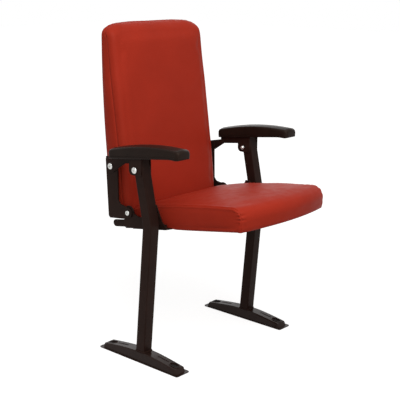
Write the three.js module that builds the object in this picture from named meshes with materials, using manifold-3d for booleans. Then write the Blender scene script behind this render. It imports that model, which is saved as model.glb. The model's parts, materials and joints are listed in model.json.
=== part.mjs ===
// Tip up auditorium seat on two floor feet, in millimetres.
// +Z is up, the sitter faces -Y and +X is the sitter's left.
// The origin is on the floor under the middle of the whole seat.
import * as THREE from "three";
import { mergeVertices } from "three/addons/utils/BufferGeometryUtils.js";
import Module from "manifold-3d";

const wasm = await Module();
wasm.setup();

// Driving dimensions
const postSize = 35;
const postWall = 2;
const postCornerRadius = 3;
const postFootY = 3.8;
const kneeY = -31;
const kneeHeight = 434;
const kneeRadius = 70;
const upperLeanDegrees = 11.9;

const footLength = 338;
const footWidth = 56;
const footCentreY = 7;
const footPlate = 3;
const footEndHeight = 15;
const footCrownHeight = 30.5;

const padLength = 287;
const padWidth = 54;
const padRearY = 122;
const padUndersideHeight = 632.5;
const padSlope = 0.122;

const seatWidth = 412;
const seatRearY = 95;
const seatCornerDepth = 421;
const seatBow = 35;
const seatThickness = 77;
const seatUndersideHeight = 407.6;
const seatSlope = 0.16;

const backSideExtra = 1;
const backBottom = 410;
const backHeight = 598;
const seatToBackGap = 7;

const pivotInset = 75;
const pivotRise = 19.4;
const pivotBushRoom = 3.1;

// Clearances and overruns shared by all pieces
const touchGap = 0.3;
const boltClearance = 0.3;
const cutOverrun = 5;
const weldDistance = 1e-4;

// Steel plate thicknesses
const armPlate = 3;
const sidePlateThickness = 3.5;
const seatBracketPlate = 4;
const hingePlate = 4;
const backBracketPlate = 3;

// Bolts
const frameBoltRadius = 4;
const frameBoltHeadRadius = 10;
const frameBoltHeadHeight = 5;
const lowBoltHeadRadius = 8;
const nutRadius = 7.5;
const nutHeight = 6.5;
const domeNutHeight = 11;
const screwRadius = 2.5;
const screwHeadRadius = 4.6;
const screwHeadHeight = 1.8;
const roundSides = 16;
const screwSides = 8;
const arcSides = 8;
const boltTail = 6;
const nutSides = 6;
const domeSkirtShare = 0.45;
const domeShare = 0.86;
const headEdgeShare = 0.4;
const headCrownShare = 0.72;
const socketShare = 0.38;
const socketFloorShare = 0.45;
const screwSeatGap = 0.8;
const screwTipCover = 2;

// Side layers from the cushions out to the posts, as distances from the middle plane
const seatHalf = seatWidth / 2;
const backHalf = seatHalf + backSideExtra;
const hingeSideGap = 5;
const hingeInnerX = seatHalf + hingeSideGap;
const hingeOuterX = hingeInnerX + hingePlate;
const seatBracketInnerX = hingeOuterX + pivotBushRoom;
const bracketOuterX = seatBracketInnerX + seatBracketPlate;
const sidePlateInnerX = bracketOuterX + touchGap;
const sidePlateOuterX = sidePlateInnerX + sidePlateThickness;
const strapInnerX = sidePlateOuterX + touchGap;
const cheekInnerX = strapInnerX + armPlate;
const strapOuterX = cheekInnerX + touchGap;
const postInnerX = cheekInnerX + armPlate + touchGap;
const postOuterX = postInnerX + postSize;
const postX = postInnerX + postSize / 2;
const backBracketInnerX = backHalf + touchGap;
const backBracketOuterX = backBracketInnerX + backBracketPlate;

const upperLean = THREE.MathUtils.degToRad(upperLeanDegrees);
const lowerLean = Math.atan((kneeY - postFootY) / (kneeHeight - footCrownHeight));
const quarterTurn = Math.PI / 2;
const turn = 2 * Math.PI;

// Pivot and bolt places, as Y and height
const postBoltDrop = 35.5;
const postBoltSetback = 10.65;
const topBoltY = 162;
const topBoltDrop = 15.4;
const lowBoltSetback = 72;
const lowBoltRise = 18.6;
const pegY = 171;
const pegRise = 6;

const backFrontY = seatRearY + seatToBackGap;
const pivotY = seatRearY - pivotInset;
const pivotHeight = seatUndersideHeight + pivotRise;
const postBoltHeight = padUndersideHeight - postBoltDrop;
const postBoltY = postCentreY(postBoltHeight) + postBoltSetback;
const topBoltHeight = postBoltHeight - topBoltDrop;
const lowBoltY = pivotY + lowBoltSetback;
const lowBoltHeight = pivotHeight + lowBoltRise;
const pegHeight = lowBoltHeight + pegRise;

// Materials
function finish(colour, roughness, metalness) {
  return new THREE.MeshStandardMaterial({ color: colour, roughness, metalness });
}

const coatedSteel = finish(0x2d2320, 0.45, 0.3);
const armPlastic = finish(0x241d1a, 0.4, 0);
const redVinyl = finish(0xa02d1e, 0.5, 0);
const brightZinc = finish(0xc9cbc8, 0.25, 1);
const plywood = finish(0x9a7447, 0.8, 0);
const backPlastic = finish(0x1f1b1a, 0.6, 0);
const blackRubber = finish(0x151515, 0.9, 0);
const whiteNylon = finish(0xd8d6cc, 0.5, 0);

// A copy that holds places and faces only, with coinciding vertices made one
function welded(geometry) {
  const bare = geometry.clone();
  bare.deleteAttribute("normal");
  bare.deleteAttribute("uv");
  return mergeVertices(bare, weldDistance);
}

function toSolid(geometry) {
  const skin = welded(geometry);
  return new wasm.Manifold(
    new wasm.Mesh({
      numProp: 3,
      vertProperties: skin.attributes.position.array,
      triVerts: new Uint32Array(skin.index.array),
    }),
  );
}

function toGeometry(solid) {
  const mesh = solid.getMesh();
  const geometry = new THREE.BufferGeometry();
  geometry.setAttribute("position", new THREE.BufferAttribute(mesh.vertProperties, mesh.numProp));
  geometry.setIndex(new THREE.BufferAttribute(mesh.triVerts, 1));
  geometry.computeVertexNormals();
  return geometry;
}

function join(...geometries) {
  const solids = geometries.map(toSolid);
  return toGeometry(solids.reduce((whole, next) => whole.add(next)));
}

function cut(geometry, ...tools) {
  const solids = tools.map(toSolid);
  return toGeometry(solids.reduce((whole, tool) => whole.subtract(tool), toSolid(geometry)));
}

function common(first, second) {
  return toGeometry(toSolid(first).intersect(toSolid(second)));
}

// Outlines: corners are given as [across, up, radius], and a radius of zero is sharp
function roundedShape(corners, steps = 4) {
  const points = [];
  corners.forEach(([across, up, radius], index) => {
    const here = new THREE.Vector2(across, up);
    if (!radius) {
      points.push(here);
      return;
    }
    const before = corners[(index + corners.length - 1) % corners.length];
    const after = corners[(index + 1) % corners.length];
    const back = new THREE.Vector2(before[0], before[1]).sub(here).normalize();
    const on = new THREE.Vector2(after[0], after[1]).sub(here).normalize();
    const halfAngle = Math.acos(THREE.MathUtils.clamp(back.dot(on), -1, 1)) / 2;
    const reach = radius / Math.tan(halfAngle);
    const middle = back.clone().add(on).setLength(radius / Math.sin(halfAngle));
    const centre = here.clone().add(middle);
    const first = here.clone().addScaledVector(back, reach).sub(centre);
    const last = here.clone().addScaledVector(on, reach).sub(centre);
    const sweep = Math.atan2(first.cross(last), first.dot(last));
    for (let step = 0; step <= steps; step += 1) {
      const arm = first.clone().rotateAround(new THREE.Vector2(), (sweep * step) / steps);
      points.push(centre.clone().add(arm));
    }
  });
  return new THREE.Shape(points);
}

function discShape(across, up, radius) {
  const shape = new THREE.Shape();
  shape.absarc(across, up, radius, 0, turn, false);
  return shape;
}

function rectangle(acrossLow, acrossHigh, upLow, upHigh, radius) {
  return roundedShape([
    [acrossLow, upLow, radius],
    [acrossHigh, upLow, radius],
    [acrossHigh, upHigh, radius],
    [acrossLow, upHigh, radius],
  ]);
}

const axisX = new THREE.Vector3(1, 0, 0);
const axisY = new THREE.Vector3(0, 1, 0);
const axisZ = new THREE.Vector3(0, 0, 1);
const sidePlane = new THREE.Matrix4().makeBasis(axisY, axisZ, axisX);
const frontPlane = new THREE.Matrix4().makeBasis(axisX, axisZ, axisY.clone().negate());

function extrude(shape, depth) {
  return new THREE.ExtrudeGeometry(shape, { depth, bevelEnabled: false, curveSegments: arcSides });
}

// A Y and Z outline, as a slab from one X to another
function sideSlab(shape, fromX, toX) {
  return extrude(shape, toX - fromX).applyMatrix4(sidePlane).translate(fromX, 0, 0);
}

// An X and Z outline, as a slab from one Y to another
function frontSlab(shape, fromY, toY) {
  return extrude(shape, toY - fromY).applyMatrix4(frontPlane).translate(0, toY, 0);
}

// An X and Y outline, as a slab from one height to another
function flatSlab(shape, fromZ, toZ) {
  return extrude(shape, toZ - fromZ).translate(0, 0, fromZ);
}

function rodAlongX(radius, fromX, toX, y, z, sides = roundSides) {
  return new THREE.CylinderGeometry(radius, radius, toX - fromX, sides)
    .rotateZ(quarterTurn)
    .translate((fromX + toX) / 2, y, z);
}

// A closed skin over rings of equally many points, with a fan at each end
function loft(rings) {
  const count = rings[0].length;
  const points = rings.flat();
  const centreOf = (ring) =>
    ring.reduce((sum, p) => sum.add(p), new THREE.Vector3()).divideScalar(ring.length);
  points.push(centreOf(rings[0]), centreOf(rings[rings.length - 1]));
  const firstCentre = points.length - 2;
  const lastCentre = points.length - 1;
  const lastRing = (rings.length - 1) * count;
  const faces = [];
  for (let side = 0; side < count; side += 1) {
    const next = (side + 1) % count;
    for (let ring = 0; ring < lastRing; ring += count) {
      faces.push(ring + side, ring + next, ring + count + next);
      faces.push(ring + side, ring + count + next, ring + count + side);
    }
    faces.push(firstCentre, next, side);
    faces.push(lastCentre, lastRing + side, lastRing + next);
  }
  const geometry = new THREE.BufferGeometry().setFromPoints(points);
  geometry.setIndex(signedVolume(points, faces) < 0 ? faces.reverse() : faces);
  geometry.computeVertexNormals();
  return geometry;
}

function signedVolume(points, faces) {
  let total = 0;
  for (let i = 0; i < faces.length; i += 3) {
    const [a, b, c] = [points[faces[i]], points[faces[i + 1]], points[faces[i + 2]]];
    total += a.dot(b.clone().cross(c));
  }
  return total;
}

// Foot: a pressed steel channel with a rim, two fixing slots and two short grooves
const footRimEnd = 9;
const footBodyHalf = 24;
const footTopHalf = 20.5;
const footEndRun = 8;
const footCornerRadius = 6;
const slotLength = 26;
const slotWidth = 15;
const slotInset = 36;
const slotRimWidth = 3;
const slotDish = 1.2;
const grooveLength = 46;
const grooveWidth = 6.5;
const grooveDepth = 1.4;
const grooveInset = 82;
const footStations = 9;
const capsuleSteps = 6;
const footSeatHalf = 26;
const footFallPowerShare = 1.35;

const footFrontY = footCentreY - footLength / 2;
const footRearY = footCentreY + footLength / 2;
const footBodyFrontY = footFrontY + footRimEnd;
const footBodyRearY = footRearY - footRimEnd;

// The body's height: level under the post, then falling to each end in a slow curve
function footTop(y) {
  const past = Math.max(Math.abs(y - postFootY) - footSeatHalf, 0);
  const end = y > postFootY ? footBodyRearY - postFootY : postFootY - footBodyFrontY;
  const share = past / (end - footSeatHalf);
  return footCrownHeight - (footCrownHeight - footEndHeight) * Math.pow(share, footFallPowerShare);
}

function footRing(y, inset, floorZ) {
  const toEnd = Math.min(y - footBodyFrontY, footBodyRearY - y) - inset;
  const rise = THREE.MathUtils.clamp(toEnd / footEndRun, 0, 1);
  const draw = (footEndRun / 2) * (1 - rise);
  const top = footPlate + (footTop(y) - inset - footPlate) * rise;
  const low = footBodyHalf - inset - draw;
  const high = footTopHalf - inset - draw;
  const bevel = footPlate * rise;
  const shoulder = Math.max(top - bevel, footPlate / 2);
  return [
    new THREE.Vector3(-low, y, floorZ),
    new THREE.Vector3(low, y, floorZ),
    new THREE.Vector3(high, y, shoulder),
    new THREE.Vector3(high - bevel, y, top),
    new THREE.Vector3(bevel - high, y, top),
    new THREE.Vector3(-high, y, shoulder),
  ];
}

function footBody(inset, floorZ) {
  const front = footBodyFrontY + inset;
  const rear = footBodyRearY - inset;
  const rings = [footRing(front, inset, floorZ), footRing(front + footEndRun, inset, floorZ)];
  const run = rear - front - 2 * footEndRun;
  for (let station = 1; station < footStations; station += 1) {
    rings.push(footRing(front + footEndRun + (run * station) / footStations, inset, floorZ));
  }
  rings.push(footRing(rear - footEndRun, inset, floorZ), footRing(rear, inset, floorZ));
  return loft(rings);
}

function capsuleShape(centreY, length, width) {
  const end = (length - width) / 2;
  const points = [];
  for (let step = 0; step <= 2 * capsuleSteps + 1; step += 1) {
    const behind = step <= capsuleSteps ? 1 : -1;
    const angle = (Math.PI * (step - (behind > 0 ? 0 : 1))) / capsuleSteps;
    const across = (width / 2) * Math.cos(angle);
    points.push(new THREE.Vector2(across, centreY + behind * end + (width / 2) * Math.sin(angle)));
  }
  return new THREE.Shape(points);
}

// A recess pressed into the sloping top of the foot to a steady depth
function topRecess(centreY, length, width, depth) {
  const half = length / 2;
  const fall = Math.atan2(footTop(centreY + half) - footTop(centreY - half), length);
  return flatSlab(capsuleShape(0, length, width), -depth, footCrownHeight)
    .rotateX(fall)
    .translate(0, centreY, footTop(centreY));
}

const slotPlaces = [footFrontY + slotInset, footRearY - slotInset];
const groovePlaces = [footFrontY + grooveInset, footRearY - grooveInset];

function makeFoot() {
  const rim = flatSlab(
    rectangle(-footWidth / 2, footWidth / 2, footFrontY, footRearY, footCornerRadius),
    0,
    footPlate,
  );
  const tools = [footBody(footPlate, -cutOverrun)];
  slotPlaces.forEach((y) => {
    tools.push(flatSlab(capsuleShape(y, slotLength, slotWidth), -cutOverrun, footCrownHeight));
    tools.push(topRecess(y, slotLength + 2 * slotRimWidth, slotWidth + 2 * slotRimWidth, slotDish));
  });
  groovePlaces.forEach((y) => tools.push(topRecess(y, grooveLength, grooveWidth, grooveDepth)));
  return cut(join(rim, footBody(0, 0)), ...tools).translate(postX, 0, 0);
}

// Post: a square tube with one bend at the height of the seat
const kneeSteps = 6;
const cornerSteps = 2;

function leanDirection(lean) {
  return new THREE.Vector2(Math.sin(lean), Math.cos(lean));
}

function leanNormal(lean) {
  return new THREE.Vector2(Math.cos(lean), -Math.sin(lean));
}

function squareLoop(half, radius) {
  const loop = [];
  for (let corner = 0; corner < 4; corner += 1) {
    for (let step = 0; step <= cornerSteps; step += 1) {
      const angle = quarterTurn * (corner + step / cornerSteps);
      const turned = quarterTurn * (corner + 1 / 2);
      const reach = (half - radius) * Math.SQRT2;
      loop.push(
        new THREE.Vector2(
          reach * Math.cos(turned) + radius * Math.cos(angle),
          reach * Math.sin(turned) + radius * Math.sin(angle),
        ),
      );
    }
  }
  return loop;
}

// The underside of the arm pad, and the layers that follow it
function padUnderside(y) {
  return padUndersideHeight - padSlope * y;
}

// Height at which the upper post's middle line meets a plane this far below the pad
function postHeightBelowPad(drop) {
  const lean = Math.tan(upperLean);
  const start = padUnderside(kneeY - kneeHeight * lean) - drop;
  return start / (1 + padSlope * lean);
}

function postCentreY(height) {
  return kneeY + (height - kneeHeight) * Math.tan(upperLean);
}

const postTopDrop = armPlate + 2 * touchGap;
const postBottom = footCrownHeight + touchGap;

function postStations() {
  const half = (upperLean - lowerLean) / 2;
  const middle = (upperLean + lowerLean) / 2;
  const knee = new THREE.Vector2(kneeY, kneeHeight);
  const centre = knee.clone().addScaledVector(leanNormal(middle), kneeRadius / Math.cos(half));
  const top = postHeightBelowPad(postTopDrop);
  const topCut = new THREE.Vector2(1, -padSlope).normalize();
  const stations = [
    {
      at: new THREE.Vector2(postFootY, postBottom),
      across: new THREE.Vector2(1 / Math.cos(lowerLean), 0),
    },
  ];
  for (let step = 0; step <= kneeSteps; step += 1) {
    const across = leanNormal(lowerLean + (2 * half * step) / kneeSteps);
    stations.push({ at: centre.clone().addScaledVector(across, -kneeRadius), across });
  }
  stations.push({
    at: new THREE.Vector2(postCentreY(top), top),
    across: topCut.divideScalar(topCut.dot(leanNormal(upperLean))),
  });
  return stations;
}

function postSkin(half, radius, overrun) {
  const stations = postStations();
  const last = stations.length - 1;
  stations[0].at.addScaledVector(leanDirection(lowerLean), -overrun);
  stations[last].at.addScaledVector(leanDirection(upperLean), overrun);
  const loop = squareLoop(half, radius);
  return loft(
    stations.map(({ at, across }) =>
      loop.map(
        (p) => new THREE.Vector3(postX + p.x, at.x + across.x * p.y, at.y + across.y * p.y),
      ),
    ),
  );
}

function makePost() {
  const outside = postSkin(postSize / 2, postCornerRadius, 0);
  const inside = postSkin(postSize / 2 - postWall, postCornerRadius - postWall / 2, cutOverrun);
  return cut(outside, inside, postBoltHole());
}

function postBoltHole() {
  return rodAlongX(
    frameBoltRadius + boltClearance,
    cheekInnerX - cutOverrun,
    postOuterX + armPlate + cutOverrun,
    postBoltY,
    postBoltHeight,
  );
}

// Arm bracket: a folded channel over the post top, with a lug back to the upright
const cheekReach = { front: 26, rear: 24, below: 16 };
const cheekRadius = 13;
const cheekChamfer = 5;
const channelDepth = 20;
const channelTail = 74;
const outerLip = 4.5;
const lugRadius = 20;
const lugRootInset = 13;
const lugRootDrop = 13;
const lugRootHalf = 7;
const padScrewInset = { front: 18, rear: 14 };

const cheekFrontY = postBoltY - cheekReach.front;
const cheekRearY = postBoltY + cheekReach.rear;
const cheekBottom = postBoltHeight - cheekReach.below;
const channelRearY = cheekRearY + channelTail;
const padScrewPlaces = {
  front: cheekRearY + padScrewInset.front,
  rear: channelRearY - padScrewInset.rear,
};
const channelInnerX = postInnerX - touchGap;
const channelOuterX = postOuterX + touchGap;

function channelTop(y) {
  return padUnderside(y) - touchGap;
}

function cheekShape(rearY) {
  return roundedShape([
    [cheekFrontY, channelTop(cheekFrontY), 0],
    [cheekFrontY, cheekBottom + cheekChamfer, 0],
    [cheekFrontY + cheekChamfer, cheekBottom, 0],
    [cheekRearY, cheekBottom, cheekRadius],
    [cheekRearY, channelTop(cheekRearY) - channelDepth, 0],
    [rearY, channelTop(rearY) - channelDepth, 0],
    [rearY, channelTop(rearY), 0],
  ]);
}

// A strap from the side of the channel that widens to the disc round the upper bolt
function lugShape() {
  const rootY = channelRearY - lugRootInset;
  const root = new THREE.Vector2(rootY, channelTop(rootY) - lugRootDrop);
  const bolt = new THREE.Vector2(topBoltY, topBoltHeight);
  const along = bolt.clone().sub(root).normalize();
  const under = new THREE.Vector2(along.y, -along.x);
  return new THREE.Shape([
    root.clone().addScaledVector(under, lugRootHalf),
    bolt.clone().addScaledVector(under, lugRadius),
    bolt.clone().addScaledVector(under, -lugRadius),
    root.clone().addScaledVector(under, -lugRootHalf),
  ]);
}

function makeArmBracket() {
  const outerX = channelOuterX + armPlate;
  const hollow = [
    [cheekFrontY - cutOverrun, channelTop(cheekFrontY - cutOverrun) - armPlate, 0],
    [cheekFrontY - cutOverrun, cheekBottom - cutOverrun, 0],
    [channelRearY + cutOverrun, cheekBottom - cutOverrun, 0],
    [channelRearY + cutOverrun, channelTop(channelRearY + cutOverrun) - armPlate, 0],
  ];
  const openSide = [
    [cheekRearY, channelTop(cheekRearY) - outerLip, 0],
    [cheekRearY, cheekBottom - cutOverrun, 0],
    [channelRearY + cutOverrun, cheekBottom - cutOverrun, 0],
    [channelRearY + cutOverrun, channelTop(channelRearY + cutOverrun) - outerLip, 0],
  ];
  const folded = cut(
    sideSlab(cheekShape(channelRearY), cheekInnerX, outerX),
    sideSlab(roundedShape(hollow), channelInnerX, channelOuterX),
    sideSlab(roundedShape(openSide), channelOuterX - cutOverrun, outerX + cutOverrun),
  );
  const lug = join(
    sideSlab(lugShape(), strapInnerX, strapOuterX),
    sideSlab(discShape(topBoltY, topBoltHeight, lugRadius), strapInnerX, strapOuterX),
  );
  const holes = [postBoltHole(), topBoltHole()];
  Object.values(padScrewPlaces).forEach((y) => holes.push(padScrewHole(y)));
  return cut(join(folded, lug), ...holes);
}

function topBoltHole() {
  return rodAlongX(
    frameBoltRadius + boltClearance,
    backHalf - topNutDepth - cutOverrun,
    strapOuterX + cutOverrun,
    topBoltY,
    topBoltHeight,
  );
}

// Arm pad: a moulded rail with an arched top, a drooping nose and a lip behind
const padThicknessRear = 27;
const padThicknessMiddle = 40;
const padThicknessFront = 25;
const padMiddleShare = 0.46;
const padNoseLength = 40;
const padNoseDroop = 4;
const padCrown = 3;
const padEdgeRadius = 8;
const padFootRadius = 3;
const padFrontRadius = 13;
const padRearRadius = 7;
const padStations = 12;
const padEndSteps = 3;
const padEdgeSteps = 3;
const padScrewDepth = 15;
const padEndLiftShare = 0.3;
const padNoseShare = 0.6;

// Thickness along the pad, from nothing behind to one at the nose
function padThickness(share) {
  const bow = 1 - Math.pow((share - padMiddleShare) / (1 - padMiddleShare), 2);
  const ends = THREE.MathUtils.lerp(padThicknessRear, padThicknessFront, share);
  return ends + (padThicknessMiddle - ends) * Math.max(bow, 0);
}

function padRing(share, inset) {
  const y = padRearY - padLength * share;
  const half = padWidth / 2 - inset;
  const toNose = padLength * (1 - share);
  const droop = padNoseDroop * THREE.MathUtils.smoothstep(padNoseLength - toNose, 0, padNoseLength);
  const low = padUnderside(y) - droop + inset * padEndLiftShare;
  const high = padUnderside(y) + padThickness(share) - inset;
  const edge = Math.min(padEdgeRadius, (high - low) / 2);
  const ring = [];
  const corner = (x, z, radius, from) => {
    for (let step = 0; step <= padEdgeSteps; step += 1) {
      const angle = from + (quarterTurn * step) / padEdgeSteps;
      ring.push(new THREE.Vector3(x + radius * Math.cos(angle), y, z + radius * Math.sin(angle)));
    }
  };
  corner(padFootRadius - half, low + padFootRadius, padFootRadius, Math.PI);
  corner(half - padFootRadius, low + padFootRadius, padFootRadius, Math.PI + quarterTurn);
  corner(half - edge, high - edge - padCrown, edge, 0);
  ring.push(new THREE.Vector3(0, y, high));
  corner(edge - half, high - edge - padCrown, edge, quarterTurn);
  return ring.map((p) => p.add(new THREE.Vector3(postX, 0, 0)));
}

function makeArmPad() {
  const rings = [];
  const quarter = (step) => (quarterTurn * step) / padEndSteps;
  for (let step = 0; step <= padEndSteps; step += 1) {
    const run = padRearRadius * (1 - Math.cos(quarter(step)));
    rings.push(padRing(run / padLength, padRearRadius * (1 - Math.sin(quarter(step)))));
  }
  const body = padLength - padRearRadius - padFrontRadius;
  for (let station = 1; station < padStations; station += 1) {
    rings.push(padRing((padRearRadius + (body * station) / padStations) / padLength, 0));
  }
  for (let step = padEndSteps; step >= 0; step -= 1) {
    const run = padFrontRadius * (1 - Math.cos(quarter(step)));
    const inset = padFrontRadius * (1 - Math.sin(quarter(step))) * padNoseShare;
    rings.push(padRing(1 - run / padLength, inset));
  }
  const holes = Object.values(padScrewPlaces).map(padScrewHole);
  return cut(loft(rings), ...holes);
}

function padScrewHole(y) {
  const radius = screwRadius + boltClearance;
  const low = channelTop(y) - armPlate - cutOverrun;
  const high = padUnderside(y) + padScrewDepth;
  return new THREE.CylinderGeometry(radius, radius, high - low, screwSides)
    .rotateX(quarterTurn)
    .translate(postX, y, (low + high) / 2);
}

// Screws and bolts stand on +Z with the underside of the head at the origin
function screwGeometry(radius, headRadius, headHeight, length, sides) {
  const profile = [
    new THREE.Vector2(0, -length),
    new THREE.Vector2(radius, -length),
    new THREE.Vector2(radius, 0),
    new THREE.Vector2(headRadius, 0),
    new THREE.Vector2(headRadius, headHeight * headEdgeShare),
    new THREE.Vector2(headRadius * headCrownShare, headHeight),
    new THREE.Vector2(headRadius * socketShare, headHeight),
    new THREE.Vector2(headRadius * socketShare, headHeight * socketFloorShare),
    new THREE.Vector2(0, headHeight * socketFloorShare),
  ];
  return new THREE.LatheGeometry(profile, sides).rotateX(quarterTurn);
}

function boltAlongX(headRadius, headHeight, length) {
  return screwGeometry(frameBoltRadius, headRadius, headHeight, length, roundSides).rotateY(
    quarterTurn,
  );
}

// A hexagon nut with its bore, its seat at the origin and its body towards -X
function nutAlongX(height) {
  const bore = frameBoltRadius + boltClearance;
  const body = new THREE.CylinderGeometry(nutRadius, nutRadius, height, nutSides).rotateZ(quarterTurn);
  return cut(body.translate(-height / 2, 0, 0), rodAlongX(bore, -height - cutOverrun, cutOverrun, 0, 0));
}

// A dome nut: a hexagon under a round cap, with a blind bore
function domeNutAlongX() {
  const skirt = domeNutHeight * domeSkirtShare;
  const hexagon = new THREE.CylinderGeometry(nutRadius, nutRadius, skirt, nutSides)
    .rotateZ(quarterTurn)
    .translate(-skirt / 2, 0, 0);
  const radius = nutRadius * domeShare;
  const cap = new THREE.SphereGeometry(radius, roundSides, roundSides / 2)
    .scale((domeNutHeight - skirt) / radius, 1, 1)
    .translate(-skirt, 0, 0);
  const bore = rodAlongX(frameBoltRadius + boltClearance, -boltTail - touchGap, cutOverrun, 0, 0);
  return cut(join(hexagon, cap), bore);
}

// Upright at the side of the back, with a foot forward to the seat bracket and a peg inwards
const uprightBoltReach = { above: 21, behind: 26 };
const uprightPegReach = 7.5;
const uprightTopWidth = 51;
const uprightLowWidth = 44;
const uprightFootReach = { above: 19, corner: 32, below: 22, rearBelow: 29, behind: 18 };
const uprightChamfer = 6;
const footEndRadius = 16;
const pegRadius = 6;
const pegTail = 3;

function makeBackUpright() {
  const uprightTop = topBoltHeight + uprightBoltReach.above;
  const uprightTopRearY = topBoltY + uprightBoltReach.behind;
  const uprightLowRearY = pegY + uprightPegReach;
  const uprightBottom = lowBoltHeight - uprightFootReach.rearBelow;
  const uprightFootTop = lowBoltHeight + uprightFootReach.above;
  const uprightCornerTop = lowBoltHeight + uprightFootReach.corner;
  const uprightFootFrontY = lowBoltY + uprightFootReach.behind;
  const uprightFootBottom = lowBoltHeight - uprightFootReach.below;
  const outline = roundedShape([
    [uprightTopRearY, uprightTop, 0],
    [uprightTopRearY - uprightTopWidth, uprightTop, 0],
    [uprightLowRearY - uprightLowWidth, uprightCornerTop, uprightChamfer],
    [uprightFootFrontY + footEndRadius, uprightFootTop + uprightChamfer / 2, uprightChamfer],
    [lowBoltY, lowBoltHeight + footEndRadius, 0],
    [lowBoltY, lowBoltHeight - footEndRadius, 0],
    [uprightFootFrontY, uprightFootBottom, 0],
    [uprightLowRearY - uprightChamfer, uprightBottom, 0],
    [uprightLowRearY, uprightBottom + uprightChamfer, 0],
  ]);
  const plate = join(
    sideSlab(outline, sidePlateInnerX, sidePlateOuterX),
    sideSlab(discShape(lowBoltY, lowBoltHeight, footEndRadius), sidePlateInnerX, sidePlateOuterX),
    rodAlongX(pegRadius, backBracketInnerX - pegTail, sidePlateInnerX + touchGap, pegY, pegHeight),
  );
  return cut(plate, topBoltHole(), lowBoltHole());
}

function lowBoltHole() {
  return rodAlongX(
    frameBoltRadius + boltClearance,
    seatBracketInnerX - cutOverrun,
    sidePlateOuterX + cutOverrun,
    lowBoltY,
    lowBoltHeight,
  );
}

// The tail of the hinge arm runs parallel to the cushion's underside
const tailLength = 138;
const tailDrop = 27;
const tailRadius = 11;

const tailEndY = pivotY + tailLength;
const tailEndHeight = pivotHeight - tailDrop;

function seatUnderside(y) {
  return seatUndersideHeight - seatSlope * y;
}

function tailCentre(y) {
  return tailEndHeight + seatSlope * (tailEndY - y);
}

function tailTop(y) {
  return tailCentre(y) + tailRadius * Math.hypot(1, seatSlope);
}

// Seat bracket: a plate off the inner face of the post that carries the pivot and the stop
const earRadius = 22;
const seatBracketBoltReach = 20;
const seatBracketPivotReach = { front: 88, frontRise: -2.4, rearDrop: 33.4 };
const seatBracketDepth = 34;
const gussetReach = { top: -7, topRise: 63.6, waist: 16, waistRise: 15.6 };
const seatBracketChamfer = 7;
const postBlock = { front: 4, rear: 18, below: 8, above: 32 };
const pivotCap = { radius: 12, height: 3 };
const pivotPinRadius = 6;
const stopBoltReach = 16;
const stopPinRadius = 4;
const stopSleeveRadius = 7.8;

const seatBracketRearY = lowBoltY + seatBracketBoltReach;
const seatBracketRearBottom = pivotHeight - seatBracketPivotReach.rearDrop;
const seatBracketFrontY = pivotY - seatBracketPivotReach.front;
const seatBracketFrontBottom = pivotHeight + seatBracketPivotReach.frontRise;
const gussetTopY = kneeY - gussetReach.top;
const gussetTop = pivotHeight + gussetReach.topRise;
const gussetWaistY = kneeY - gussetReach.waist;
const gussetWaist = pivotHeight + gussetReach.waistRise;
const stopY = lowBoltY + stopBoltReach;
const stopHeight = tailTop(stopY) + touchGap + stopSleeveRadius;

// The block that stands the plate off the post and is welded to it
function postBlockShape() {
  return rectangle(
    kneeY - postBlock.front,
    kneeY + postBlock.rear,
    kneeHeight - postBlock.below,
    kneeHeight + postBlock.above,
    0,
  );
}

function makeSeatBracket() {
  const rise = seatBracketRearBottom - seatBracketFrontBottom;
  const slope = rise / (seatBracketRearY - seatBracketFrontY);
  const bottom = (y) => seatBracketFrontBottom + slope * (y - seatBracketFrontY);
  const earFrontY = lowBoltY - 2 * earRadius;
  const outline = roundedShape([
    [seatBracketFrontY, seatBracketFrontBottom, 0],
    [seatBracketRearY - seatBracketChamfer, bottom(seatBracketRearY - seatBracketChamfer), 0],
    [seatBracketRearY, seatBracketRearBottom + seatBracketChamfer, 0],
    [lowBoltY + earRadius, lowBoltHeight, 0],
    [lowBoltY - earRadius, lowBoltHeight, 0],
    [earFrontY, bottom(earFrontY) + seatBracketDepth, seatBracketChamfer],
    [gussetTopY + postSize, bottom(gussetTopY) + seatBracketDepth, 0],
    [gussetTopY + postSize / 2, gussetTop, 0],
    [gussetTopY, gussetTop, 0],
    [gussetWaistY, gussetWaist, 0],
  ]);
  const plate = join(
    sideSlab(outline, seatBracketInnerX, bracketOuterX),
    sideSlab(discShape(lowBoltY, lowBoltHeight, earRadius), seatBracketInnerX, bracketOuterX),
    rodAlongX(stopPinRadius, hingeInnerX, seatBracketInnerX + touchGap, stopY, stopHeight),
    rodAlongX(
      pivotCap.radius,
      bracketOuterX - touchGap,
      bracketOuterX + pivotCap.height,
      pivotY,
      pivotHeight,
    ),
    sideSlab(postBlockShape(), bracketOuterX - touchGap, postInnerX - touchGap),
  );
  const pivot = rodAlongX(
    pivotPinRadius + touchGap,
    seatBracketInnerX - cutOverrun,
    bracketOuterX,
    pivotY,
    pivotHeight,
  );
  return cut(plate, lowBoltHole(), pivot);
}

function makeStopSleeve() {
  const outer = rodAlongX(
    stopSleeveRadius,
    hingeInnerX - touchGap,
    seatBracketInnerX - touchGap,
    stopY,
    stopHeight,
  );
  const bore = rodAlongX(
    stopPinRadius + touchGap,
    hingeInnerX - cutOverrun,
    bracketOuterX,
    stopY,
    stopHeight,
  );
  return cut(outer, bore);
}

// Hinge arm: the moving web beside the cushion, with a flange under the board and a tail behind
const pivotBossRadius = 20;
const webFrontReach = 78;
const webFrontRise = 16;
const flangeLift = 1;
const flangeWidth = 65;
const flangeReach = { front: 245, rear: 62 };
const flangeNoseWidth = 34;
const flangeShoulder = { inset: 19, run: 12 };
const hingeScrewReach = { front: 40, rear: 42 };
const hingeScrewInset = 17;

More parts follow.
